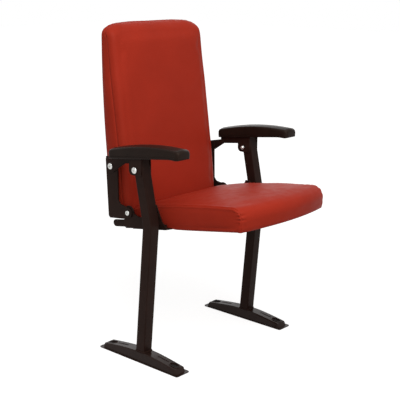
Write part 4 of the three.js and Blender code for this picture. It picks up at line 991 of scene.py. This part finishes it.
def gather_corners(piece, depth):
    """Small gathers where the vinyl turns round the two top corners."""
    wide, rise = BACK_CORNER
    seam_behind, seam_reach, edge_start, edge_full, breadth = 15.0, 12.0, 0.5, 0.95, 0.7
    folds, wander, wander_folds, side_shift = 19, 0.8, 7, 0.01
    places, normals = places_and_normals(piece)
    for i, place in enumerate(places):
        x, y, z = place[0] / MM, place[1] / MM - ROW_SHIFT, place[2] / MM
        across, up = (abs(x) - BACK_TOP_HALF) / wide + 1, (z - BACK_TOP) / rise + 1
        if across <= 0 or up <= 0:
            continue
        angle = math.atan2(up, across)
        edge = smooth_share(edge_start, edge_full, math.hypot(across, up))
        turn = math.sin(math.pi * angle / QUARTER) ** breadth
        near_seam = math.exp(-abs(back_rear(z) - y - seam_behind) / seam_reach)
        sway = wander * math.sin(angle * wander_folds + x * side_shift)
        ripple = 0.5 + 0.5 * math.sin(angle * folds + sway)
        places[i] += normals[i] * (-depth * edge * turn * near_seam * ripple)
    move_vertices(piece, places)


def back_free(places):
    """One on the front and sides of the back, and zero in the pocket behind."""
    start, ease = 8.0, 10.0
    rear = np.array([back_rear(z / MM) for z in places[:, 2]])
    return np.clip((rear - (places[:, 1] / MM - ROW_SHIFT) - start) / ease, 0, 1)


class SEAT_OT_back_cover(bpy.types.Operator):
    """Sews and fills the back cushion's vinyl cover"""
    bl_idname = "seat.back_cover"
    bl_label = "Back cover"

    def execute(self, context):
        settings = context.scene.seat_covers
        columns, rows, seam_ring, rear_rings = 38, 54, 7, 6
        points, faces, ring_count, rear_cap = back_mesh(columns, rows)
        piece = add_piece("back_cover", points, faces, "frame", "seat_vinyl", vinyl_finish())
        size = 2 * (columns + rows)
        held = np.zeros(len(points))
        held[(ring_count - rear_rings) * size:ring_count * size] = 1.0
        held[rear_cap:] = 1.0
        seam = list(range(seam_ring * size, (seam_ring + 1) * size))
        lines = fill_cover(piece, held, [seam], settings.back_swell, closed=True)
        hand_made(piece, depth=0.0013, size=0.11, seed=2, free=back_free)
        sew(piece, lines, settings.seam_depth, BACK_PUCKER_SHARE * settings.pucker_depth)
        gather_corners(piece, depth=2.2 * MM)
        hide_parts("back_cushion")
        return {"FINISHED"}


# Hem and staples under the seat

def hem_path(margin, corner):
    """The line at a margin inside the seat's edge, from one hinge arm round the front."""
    edge_gap, start_share, corner_share, bow_share = 2.0, 0.4, 0.8, 0.86
    half = SEAT_HALF - margin - edge_gap
    front = SEAT_REAR_Y - SEAT_DEPTH + margin
    lean = SEAT_FRONT_DRAW * corner_share
    start = (-half + lean * start_share, FLANGE_EDGE["y"][0] - HEM_FLANGE_GAP)
    side = [start, (-half + lean, front + corner)]
    turn = arc(-half + lean + corner, front + corner, corner, 180, 262, 10)
    left = resample(side, np.linspace(0, 1, 7)[:-1]).tolist() + turn
    end_x, end_y = turn[-1]
    middle = []
    for share in np.linspace(0, 1, 33)[1:-1]:
        x = end_x * (1 - 2 * share)
        middle.append((x, end_y - SEAT_BOW * bow_share * (1 - (x / end_x) ** 2)))
    return np.array(left + middle + [(-x, y) for x, y in left[::-1]])


def add_hem(name, outer, inner):
    """A folded strip of vinyl between two lines, laid on the board's underside."""
    rings = []
    for number, (far, near) in enumerate(zip(outer, inner)):
        low = HEM_LOW - HEM_WAVE * noise.noise(Vector((number * 0.8, 2.0, 0.0)))
        ring = []
        for share, lift in ((0, HEM_TOP), (0.5, HEM_TOP), (1, HEM_TOP), (1.02, HEM_FOLD),
                            (1, HEM_LOW), (0.94, low - HEM_TUCK), (0.5, low), (0, HEM_LOW - HEM_TUCK / 2)):
            x, y = far + (near - far) * share
            ring.append((x, y, seat_underside(y) + lift))
        rings.append(ring)
    piece = add_piece(name, *skin(rings), "seat", "seat_vinyl", vinyl_finish(), sharp=50)


def add_staples(path, pitch):
    """Wire staples along a line on the hem, each turned a little off square."""
    random.seed(11)
    points, faces = [], []
    steps = np.linalg.norm(np.diff(path, axis=0), axis=1)
    count = int(steps.sum() / pitch)
    places = resample(path, (np.arange(count) + 0.5) / count)
    ahead = resample(path, np.minimum((np.arange(count) + 0.6) / count, 1.0)) - places
    for place, direction in zip(places, ahead):
        x, y = direction / np.linalg.norm(direction)
        tilt = math.radians(random.uniform(-STAPLE_SWAY, STAPLE_SWAY))
        across = np.array([x * math.cos(tilt) - y * math.sin(tilt),
                           x * math.sin(tilt) + y * math.cos(tilt)])
        line = []
        for run, lift in STAPLE:
            x, y = place + across * run
            line.append((x, y, seat_underside(y) + lift))
        more, quads = tube(line, STAPLE_RADIUS)
        faces += [tuple(index + len(points) for index in quad) for quad in quads]
        points += more
    add_piece("seat_staples", points, faces, "seat", "bright_zinc", zinc_finish(), sharp=60)


class SEAT_OT_seat_hem(bpy.types.Operator):
    """Folds the cover's hem under the seat board and staples it"""
    bl_idname = "seat.seat_hem"
    bl_label = "Hem and staples"

    def execute(self, context):
        settings = context.scene.seat_covers
        width = settings.hem_width / MM
        outer = hem_path(HEM_OUTER_MARGIN, corner=8.0)
        inner = hem_path(HEM_INNER_MARGIN + width, corner=26.0)
        add_hem("seat_hem_front", outer, inner)
        end = FLANGE_INNER - HEM_FLANGE_GAP
        rear = [np.array([[x, SEAT_REAR_Y - margin] for x in np.linspace(-end, end, 24)])
                for margin in (HEM_OUTER_MARGIN, HEM_INNER_MARGIN + width)]
        add_hem("seat_hem_rear", *rear)
        add_staples((outer + inner) / 2, settings.staple_pitch / MM)
        return {"FINISHED"}


# Arm pads

def pad_underside(y):
    return PAD_UNDERSIDE - PAD_SLOPE * y


def pad_thickness(share):
    """Thickness along the pad, from its rear lip to its nose."""
    bow = max(1 - ((share - PAD_THICKEST) / (1 - PAD_THICKEST)) ** 2, 0.0)
    ends = PAD_REAR_THICK + (PAD_NOSE_THICK - PAD_REAR_THICK) * share
    return ends + (PAD_THICK - ends) * bow


def pad_ring(share, inset, edge_radius, steps=7):
    """A ring round the pad at a share of its length: feet, parting lines, edges and crown."""
    y = PAD_REAR_Y - PAD_LENGTH * share
    half = PAD_HALF - inset
    before_nose = PAD_DROOP_LENGTH - PAD_LENGTH * (1 - share)
    droop = PAD_DROOP * smooth_share(0.0, PAD_DROOP_LENGTH, before_nose)
    low = pad_underside(y) - droop + inset * PAD_TUCK_SHARE
    high = pad_underside(y) + pad_thickness(share) - inset
    edge = min(edge_radius, (high - low) / 2)
    top = high - PAD_CROWN
    seam, lower = min(low + PAD_SEAM, top - edge - PAD_PART_WIDTH), half - PAD_PART
    parting = [(lower, seam - PAD_PART_WIDTH / 2), (lower - PAD_PART_DEPTH, seam),
               (half, seam + PAD_PART_WIDTH / 2)]
    crown = [(across * (half - edge), top + PAD_CROWN * (1 - across * across))
             for across in (0.7, 0.35, 0.0, -0.35, -0.7)]

    def corner(x, z, radius, start):
        return arc(x, z, radius, start, start + 90, steps)

    foot_x, foot_z = lower - PAD_FOOT, low + PAD_FOOT
    edge_x, edge_z = half - edge, top - edge
    outline = (corner(-foot_x, foot_z, PAD_FOOT, 180) + corner(foot_x, foot_z, PAD_FOOT, 270)
               + parting + corner(edge_x, edge_z, edge, 0) + crown + corner(-edge_x, edge_z, edge, 90)
               + [(-x, z) for x, z in reversed(parting)])
    return [(x + PAD_X, y, z) for x, z in outline]


def pad_mesh(edge_radius):
    """Points and faces of one pad, rounded at its rear end and at its nose."""
    body = PAD_LENGTH - PAD_REAR_ROUND - PAD_NOSE_ROUND
    stations = []
    for turn in np.radians(np.linspace(0, 90, 8)):
        stations.append((PAD_REAR_ROUND * (1 - math.cos(turn)) / PAD_LENGTH,
                         PAD_REAR_ROUND * (1 - math.sin(turn))))
    for share in np.linspace(0, 1, 40)[1:-1]:
        stations.append(((PAD_REAR_ROUND + body * share) / PAD_LENGTH, 0.0))
    for turn in np.radians(np.linspace(90, 0, 9)):
        stations.append((1 - PAD_NOSE_ROUND * (1 - math.cos(turn)) / PAD_LENGTH,
                         PAD_NOSE_ROUND * (1 - math.sin(turn)) * PAD_NOSE_SHARE))
    return skin([pad_ring(share, inset, edge_radius) for share, inset in stations])


class SEAT_OT_arm_pads(bpy.types.Operator):
    """Moulds the two arm pads"""
    bl_idname = "seat.arm_pads"
    bl_label = "Arm pads"

    def execute(self, context):
        points, faces = pad_mesh(context.scene.seat_trim.pad_edge / MM)
        for side, sign in SIDES.items():
            placed = [(sign * x, y, z) for x, y, z in points]
            piece = add_piece(f"arm_pad_moulded_{side}", placed, faces, "frame", "arm_plastic",
                              pad_finish(), sharp=38)
            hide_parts(f"arm_pad_{side}")
        return {"FINISHED"}


# Steel, boards and panel from the frame

@cache
def shade_group():
    """A node group that shades smooth and keeps edges sharper than its angle."""
    group = bpy.data.node_groups.new("Shade by angle", "GeometryNodeTree")
    for way in ("INPUT", "OUTPUT"):
        group.interface.new_socket("Geometry", in_out=way, socket_type="NodeSocketGeometry")
    entry = add_node(group, "NodeGroupInput")
    angle = add_node(group, "GeometryNodeInputMeshEdgeAngle").outputs["Unsigned Angle"]
    sharp = add_node(group, "FunctionNodeCompare", {0: angle, 1: SHARP_EDGE}, operation="GREATER_THAN")
    faces = add_node(group, "GeometryNodeSetShadeSmooth", {"Geometry": entry.outputs[0]}, domain="FACE")
    edges = add_node(group, "GeometryNodeSetShadeSmooth", {
        "Geometry": faces.outputs[0], "Selection": sharp.outputs["Result"], "Shade Smooth": False},
        domain="EDGE")
    add_node(group, "NodeGroupOutput", {0: edges.outputs[0]})
    return group


def dress_node(node, material, rounding, segments=2):
    """Rounds the edges of one of the frame's solids and gives it its finish."""
    piece = frame["nodes"][node]
    piece.modifiers.new("Weld", "WELD").merge_threshold = 0.02 * MM
    put(piece.modifiers.new("Flat", "DECIMATE"), decimate_type="DISSOLVE", angle_limit=FLAT_WITHIN)
    put(piece.modifiers.new("Edge", "BEVEL"), width=rounding, segments=segments,
        limit_method="ANGLE", angle_limit=ROUNDED_EDGE, use_clamp_overlap=True)
    piece.modifiers.new("Shade", "NODES").node_group = shade_group()
    piece.modifiers.new("Normals", "WEIGHTED_NORMAL").keep_sharp = True
    piece.data.materials.clear()
    piece.data.materials.append(material)


class SEAT_OT_steel(bpy.types.Operator):
    """Coats the feet, posts, brackets, uprights and hinge arms"""
    bl_idname = "seat.steel"
    bl_label = "Coated steel"

    def execute(self, context):
        rounding = context.scene.seat_trim.edge_round
        for side in SIDES:
            dress_node(f"foot_{side}", foot_finish(), 2 * rounding, 3)
            for name in ("post", "arm_bracket", "back_upright", "seat_bracket", "hinge_arm",
                         "back_bracket"):
                dress_node(f"{name}_{side}", steel_finish(), rounding)
        return {"FINISHED"}


class SEAT_OT_boards(bpy.types.Operator):
    """Finishes the plywood boards and the moulded rear panel"""
    bl_idname = "seat.boards"
    bl_label = "Boards and panel"

    def execute(self, context):
        for board in ("seat_board", "back_board"):
            dress_node(board, plywood_finish(), 0.8 * MM)
        dress_node("back_panel", panel_finish(), 0.9 * MM, 3)
        return {"FINISHED"}


# Slot rims and welds

def foot_top(y):
    """Height of the crown of a foot at a place along it."""
    end = abs((FOOT_REAR_Y if y > FOOT_MIDDLE_Y else FOOT_FRONT_Y) - FOOT_MIDDLE_Y)
    share = max(abs(y - FOOT_MIDDLE_Y) - FOOT_FLAT, 0.0) / (end - FOOT_FLAT)
    return FOOT_TOP - FOOT_FALL * share ** FOOT_FALL_POWER


class SEAT_OT_slot_rims(bpy.types.Operator):
    """Raises the rolled rims round the fixing slots of the feet"""
    bl_idname = "seat.slot_rims"
    bl_label = "Slot rims"

    def execute(self, context):
        half, end = SLOT_WIDTH / 2, (SLOT_LENGTH - SLOT_WIDTH) / 2
        ring = arc(0, end, half, 0, 180, 12) + arc(0, -end, half, 180, 360, 12)
        for side, sign in SIDES.items():
            for place, middle in SLOT_Y.items():
                line = [(sign * PAD_X + x, middle + y, foot_top(middle + y) + RIM_LIFT)
                        for x, y in ring + ring[:1]]
                add_piece(f"foot_slot_rim_{side}_{place}", *tube(line, RIM_RADIUS, 8), "frame",
                          "coated_steel", foot_finish())
        return {"FINISHED"}


def bead(line, radius, seed, sides=8):
    """Points and faces of an uneven weld bead along a line."""
    wave, wave_turn, lump, lump_turn = 0.16, 2.1, 0.22, 0.6
    dense = resample(line, np.linspace(0, 1, max(8, int(len(line) * 6))))
    points, faces = tube([tuple(p) for p in dense], radius, sides)
    moved = []
    for index, point in enumerate(points):
        number = index // sides
        centre = Vector(dense[number])
        uneven = lump * noise.noise(Vector((number * lump_turn, seed, 0)))
        ripple = 1 + wave * math.sin(number * wave_turn) + uneven
        moved.append(tuple(centre + (Vector(point) - centre) * ripple))
    return moved, faces


class SEAT_OT_welds(bpy.types.Operator):
    """Lays the weld beads at the foot and at the seat bracket of each post"""
    bl_idname = "seat.welds"
    bl_label = "Weld beads"

    def execute(self, context):
        radius = context.scene.seat_trim.weld_size / MM
        middle = POST_WELD_HALF - POST_WELD_CORNER
        square = []
        for number, (x, y) in enumerate(((1, 1), (-1, 1), (-1, -1), (1, -1))):
            square += arc(x * middle, y * middle, POST_WELD_CORNER, 90 * number, 90 * number + 90, 4)
        (front, rear), (low, high) = BLOCK_Y, BLOCK_Z
        block = [(front, low), (rear, low), (rear, high), (front, high), (front, low)]
        square.append(square[0])
        for side, sign in SIDES.items():
            foot_line = [(sign * (PAD_X + x), FOOT_MIDDLE_Y + y, POST_WELD_Z) for x, y in square]
            block_line = [(sign * BLOCK_WELD_X, y, z) for y, z in block]
            for name, weld in (("foot_weld", bead(foot_line, radius, seed=1.0 + sign)),
                               ("bracket_weld", bead(block_line, 0.8 * radius, seed=3.0 + sign))):
                add_piece(f"{name}_{side}", *weld, "frame", "coated_steel", steel_finish())
        return {"FINISHED"}


# Turned fasteners and sleeves

def outline_reach(kind, angle):
    """How far an outline of radius one reaches at an angle."""
    if kind == "hex":
        return math.cos(math.radians(30)) / math.cos(angle % math.radians(60) - math.radians(30))
    if kind == "cross":
        turn = abs((angle + math.pi / 4) % QUARTER - math.pi / 4)
        return min(1.0 / math.cos(turn), 0.3 / max(math.sin(turn), 1e-6))
    return 1.0


def turned(profile, place, axis, closed, sides=24):
    """Points and faces of rings about an axis, given by distance out, radius and any outline."""
    turn = Vector(axis).to_track_quat("Z", "Y")
    rings = []
    for out, radius, *kind in profile:
        ring = []
        for side in range(sides):
            angle = TURN * side / sides
            reach = radius * (outline_reach(kind[0], angle) if kind else 1.0)
            arm = turn @ Vector((reach * math.cos(angle), reach * math.sin(angle), out))
            ring.append(Vector(place) + arm)
        rings.append(ring)
    return skin(rings, closed)


def node_axis_place(node, axis):
    """The outer end of a node along an axis, on its middle line, and its length."""
    low, high = (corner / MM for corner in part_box(node))
    centre, size = (low + high) / 2, high - low
    axis = Vector(axis)
    length = abs(size.dot(axis))
    end = centre + axis * length / 2
    return (end.x, end.y - ROW_SHIFT, end.z), length


def domed(low, high, wide, narrow, steps=6):
    """Profile rings of a dome between two distances out and two radii."""
    turns = [QUARTER * step / steps for step in range(1, steps + 1)]
    return [(low + (high - low) * math.sin(turn), narrow + (wide - narrow) * math.cos(turn))
            for turn in turns]


def bolt_profile(length, head, height, shank, socket, kind):
    """A domed head over its shank, with a socket, from the shank's tip to the socket floor."""
    chamfer, break_edge, rim, mouth = 0.5, 0.3, 0.3 * height - height, 0.25
    tip = [(-length, 0.2 * shank), (-length, shank - chamfer), (chamfer - length, shank), (-height, shank)]
    edge = [(-height, head - break_edge), (break_edge - height, head), (rim, head)]
    hollow = [(0.0, 1.12 * socket, kind), (-mouth, socket, kind), (-0.6 * height, 0.97 * socket, kind),
              (-0.66 * height, 0.3 * socket)]
    return tip + edge + domed(rim, 0.0, head, 1.45 * socket) + hollow


def dome_nut_profile(length, radius):
    """A hexagon skirt under a dome."""
    skirt, neck = length * 0.45 - length, radius * 0.82
    rings = [(-length, radius * 0.3), (-length, radius * 0.92, "hex"), (0.5 - length, radius, "hex"),
             (skirt - 0.6, radius, "hex"), (skirt, radius * 0.9, "hex"), (skirt + 0.1, neck)]
    return rings + domed(skirt + 0.1, 0.0, neck, 0.2, 8)


def nut_profile(length, radius, bore):
    return [(-length, bore), (-length, radius * 0.9, "hex"), (0.6 - length, radius, "hex"),
            (-0.6, radius, "hex"), (0.0, radius * 0.88, "hex"), (0.0, bore + 0.5), (-0.5, bore)]


def sleeve_profile(length, radius, bore, ease=0.8):
    return [(-length, bore), (-length, radius - ease), (ease - length, radius),
            (-ease, radius), (0.0, radius - ease), (0.0, bore)]


def pin_profile(length, radius, head):
    """A pin with a chamfered tip and a flat head with a centre mark."""
    return [(-length, 0.5), (-length, radius - 0.8), (0.7 - length, radius), (-3.0, radius),
            (-3.0, head - 0.4), (-2.6, head), (-0.8, head), (0.0, head - 1.0), (0.0, 3.0),
            (-0.5, 2.0), (-0.6, 0.3)]


def add_turned(node, axis, profile, slot="bright_zinc", body="frame", **sizes):
    """A turned piece in a node's place, as long as the node is along the axis."""
    place, length = node_axis_place(node, axis)
    hollow = profile in (nut_profile, sleeve_profile)
    points, faces = turned(profile(length, **sizes), place, axis, hollow)
    piece = add_piece(f"{node}_turned", points, faces, body, slot, TURNED_FINISHES[slot](), sharp=35)
    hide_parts(node)


class SEAT_OT_bolts(bpy.types.Operator):
    """Turns the frame bolts, dome nuts and nuts"""
    bl_idname = "seat.bolts"
    bl_label = "Bolts and nuts"

    def execute(self, context):
        for side, sign in SIDES.items():
            for node, head in BOLT_HEADS.items():
                add_turned(f"{node}_{side}", (sign, 0, 0), bolt_profile, head=head, **BOLT)
            inwards = (-sign, 0, 0)
            add_turned(f"post_dome_nut_{side}", inwards, dome_nut_profile, radius=7.5)
            add_turned(f"back_low_nut_{side}", inwards, nut_profile, radius=7.5, bore=4.2)
        return {"FINISHED"}


class SEAT_OT_screws(bpy.types.Operator):
    """Turns the small cross headed screws"""
    bl_idname = "seat.screws"
    bl_label = "Screws"

    def execute(self, context):
        down, rearwards = (0, 0, -1), (0, 1, 0)
        for side in SIDES:
            for place in ("front", "rear"):
                for kind, body in (("arm_pad_screw", "frame"), ("hinge_screw", "seat")):
                    add_turned(f"{kind}_{place}_{side}", down, bolt_profile, body=body, **SCREW)
            for place in ("lower", "upper"):
                for kind in ("back_bracket_screw", "back_panel_screw"):
                    add_turned(f"{kind}_{place}_{side}", rearwards, bolt_profile, **SCREW)
        return {"FINISHED"}


class SEAT_OT_pivots(bpy.types.Operator):
    """Turns the pivot pins, bushes, stop sleeves and spacers"""
    bl_idname = "seat.pivots"
    bl_label = "Pivots and sleeves"

    def execute(self, context):
        for side, sign in SIDES.items():
            inwards = (-sign, 0, 0)
            add_turned(f"pivot_pin_{side}", inwards, pin_profile, radius=6.0, head=11.0)
            add_turned(f"pivot_bush_{side}", inwards, sleeve_profile, "white_nylon", radius=15.0, bore=6.3)
            add_turned(f"seat_stop_sleeve_{side}", inwards, sleeve_profile, "black_rubber",
                       radius=7.8, bore=4.3, ease=1.4)
            add_turned(f"back_spacer_{side}", inwards, sleeve_profile, "coated_steel",
                       radius=11.0, bore=4.3)
        return {"FINISHED"}


# Stage

def shown_rays(tree):
    """One for the rays that show the white surroundings, and zero for those that light."""
    rays = add_node(tree, "ShaderNodeLightPath").outputs
    shown = rays["Is Camera Ray"]
    for kind in ("Is Glossy Ray", "Is Transmission Ray"):
        shown = add_node(tree, "ShaderNodeMath", {0: shown, 1: rays[kind]}, operation="MAXIMUM").outputs[0]
    return shown


def floor_finish(colour):
    """A pale floor that shows white to the camera and keeps the shadow of the seat."""
    finish = Finish("Studio floor")
    tree = finish.tree
    tone = finish.blend(finish.noise(0.8, detail=2.0), shade(colour, 0.99), shade(colour, 1.01))
    finish.finished(Base_Color=tone, Roughness=0.9, Specular_IOR_Level=0.1)
    place = add_node(tree, "ShaderNodeNewGeometry").outputs["Position"]
    away = add_node(tree, "ShaderNodeVectorMath", {0: place}, operation="LENGTH").outputs["Value"]
    shown = shown_rays(tree)
    strength = finish.math("MULTIPLY", shown, finish.spread(away, low=0.87, high=0.96, start=0.7, end=3.0))
    glow = add_node(tree, "ShaderNodeEmission", {"Color": WHITE, "Strength": strength})
    both = add_node(tree, "ShaderNodeAddShader", {0: finish.shader.outputs[0], 1: glow.outputs[0]})
    fill(tree.nodes["Material Output"], {"Surface": both.outputs[0]})
    return finish.material


def light_the_sky(strength):
    """A warm even light, with plain white where it shows."""
    world = bpy.data.worlds.new("Studio")
    bpy.context.scene.world = world
    world.use_nodes = True
    tree = world.node_tree
    lit = fill(tree.nodes["Background"], {"Color": WARM_SKY, "Strength": strength})
    seen = add_node(tree, "ShaderNodeBackground", {"Color": WHITE, "Strength": 1.0})
    mix = add_node(tree, "ShaderNodeMixShader", {
        "Fac": shown_rays(tree), 1: lit.outputs[0], 2: seen.outputs[0]})
    fill(tree.nodes["World Output"], {"Surface": mix.outputs[0]})


def add_floor(colour, reach=14.0, drop=0.0004):
    mesh = bpy.data.meshes.new("studio_floor")
    corners = [(-reach, -reach, 0), (reach, -reach, 0), (reach, reach, 0), (-reach, reach, 0)]
    mesh.from_pydata(corners, [], [(0, 1, 2, 3)])
    mesh.materials.append(floor_finish(colour))
    floor = add_object("studio_floor", mesh)
    floor.location.z = -drop


def add_lamp(name, power, size, place):
    """A rectangular lamp that looks at the middle of the seat."""
    middle = Vector((0, 0, 0.5))
    lamp = put(bpy.data.lights.new(name, "AREA"), energy=power, shape="RECTANGLE",
               size=size[0], size_y=size[1])
    turn = (middle - Vector(place)).to_track_quat("-Z", "Y").to_euler()
    put(add_object(name, lamp), location=place, rotation_euler=turn)


def add_camera(settings):
    """The camera, from its place, its direction and its roll."""
    a, e, r = settings.azimuth, settings.elevation, settings.roll
    forward = Vector((-math.sin(a) * math.cos(e), math.cos(a) * math.cos(e), -math.sin(e)))
    level = Vector((math.cos(a), math.sin(a), 0))
    up = level.cross(forward)
    right = level * math.cos(r) + up * math.sin(r)
    up = up * math.cos(r) - level * math.sin(r)
    lens = put(bpy.data.cameras.new("Camera"), lens=settings.lens, sensor_width=36.0)
    camera = add_object("Camera", lens)
    turn = Matrix((right, up, -forward)).transposed().to_4x4()
    camera.matrix_world = Matrix.Translation(settings.camera_place) @ turn
    bpy.context.scene.camera = camera


class SEAT_OT_stage(bpy.types.Operator):
    """Sets the floor, the sky, the lamps and the camera"""
    bl_idname = "seat.stage"
    bl_label = "Stage"

    def execute(self, context):
        settings = context.scene.seat_stage
        add_floor(tuple(settings.floor))
        light_the_sky(settings.sky)
        add_lamp("Key", settings.key_power, size=(1.9, 1.9), place=(-1.0, -1.3, 2.5))
        add_lamp("Fill", settings.fill_power, size=(0.35, 1.8), place=(-2.6, -2.4, 1.0))
        add_lamp("Rim", settings.rim_power, size=(1.8, 1.0), place=(2.4, 2.2, 1.5))
        add_camera(settings)
        context.scene.view_settings.view_transform = "Standard"
        return {"FINISHED"}


STEPS = (
    SEAT_OT_stage, SEAT_OT_seat_cover, SEAT_OT_back_cover, SEAT_OT_seat_hem, SEAT_OT_arm_pads,
    SEAT_OT_steel, SEAT_OT_slot_rims, SEAT_OT_welds, SEAT_OT_boards, SEAT_OT_bolts, SEAT_OT_screws,
    SEAT_OT_pivots,
)


class SEAT_PT_panel(bpy.types.Panel):
    """Lists the seat's making steps and their settings"""
    bl_idname = "SEAT_PT_panel"
    bl_label = "Tip up seat"
    bl_space_type = "VIEW_3D"
    bl_region_type = "UI"
    bl_category = "Seat"

    def draw(self, context):
        for step in STEPS:
            self.layout.operator(step.bl_idname)
        for settings in (context.scene.seat_covers, context.scene.seat_trim, context.scene.seat_stage):
            box = self.layout.box()
            for name in settings.__annotations__:
                box.prop(settings, name)


SETTINGS = {"seat_covers": CoverSettings, "seat_trim": TrimSettings, "seat_stage": StageSettings}


def register():
    for cls in (*SETTINGS.values(), *STEPS, SEAT_PT_panel):
        bpy.utils.register_class(cls)
    for name, cls in SETTINGS.items():
        setattr(bpy.types.Scene, name, bpy.props.PointerProperty(type=cls))


def unregister():
    for name in SETTINGS:
        delattr(bpy.types.Scene, name)
    for cls in reversed((*SETTINGS.values(), *STEPS, SEAT_PT_panel)):
        bpy.utils.unregister_class(cls)


def main():
    register()
    for step in STEPS:
        group, name = step.bl_idname.split(".")
        getattr(getattr(bpy.ops, group), name)()


if __name__ == "__main__":
    main()
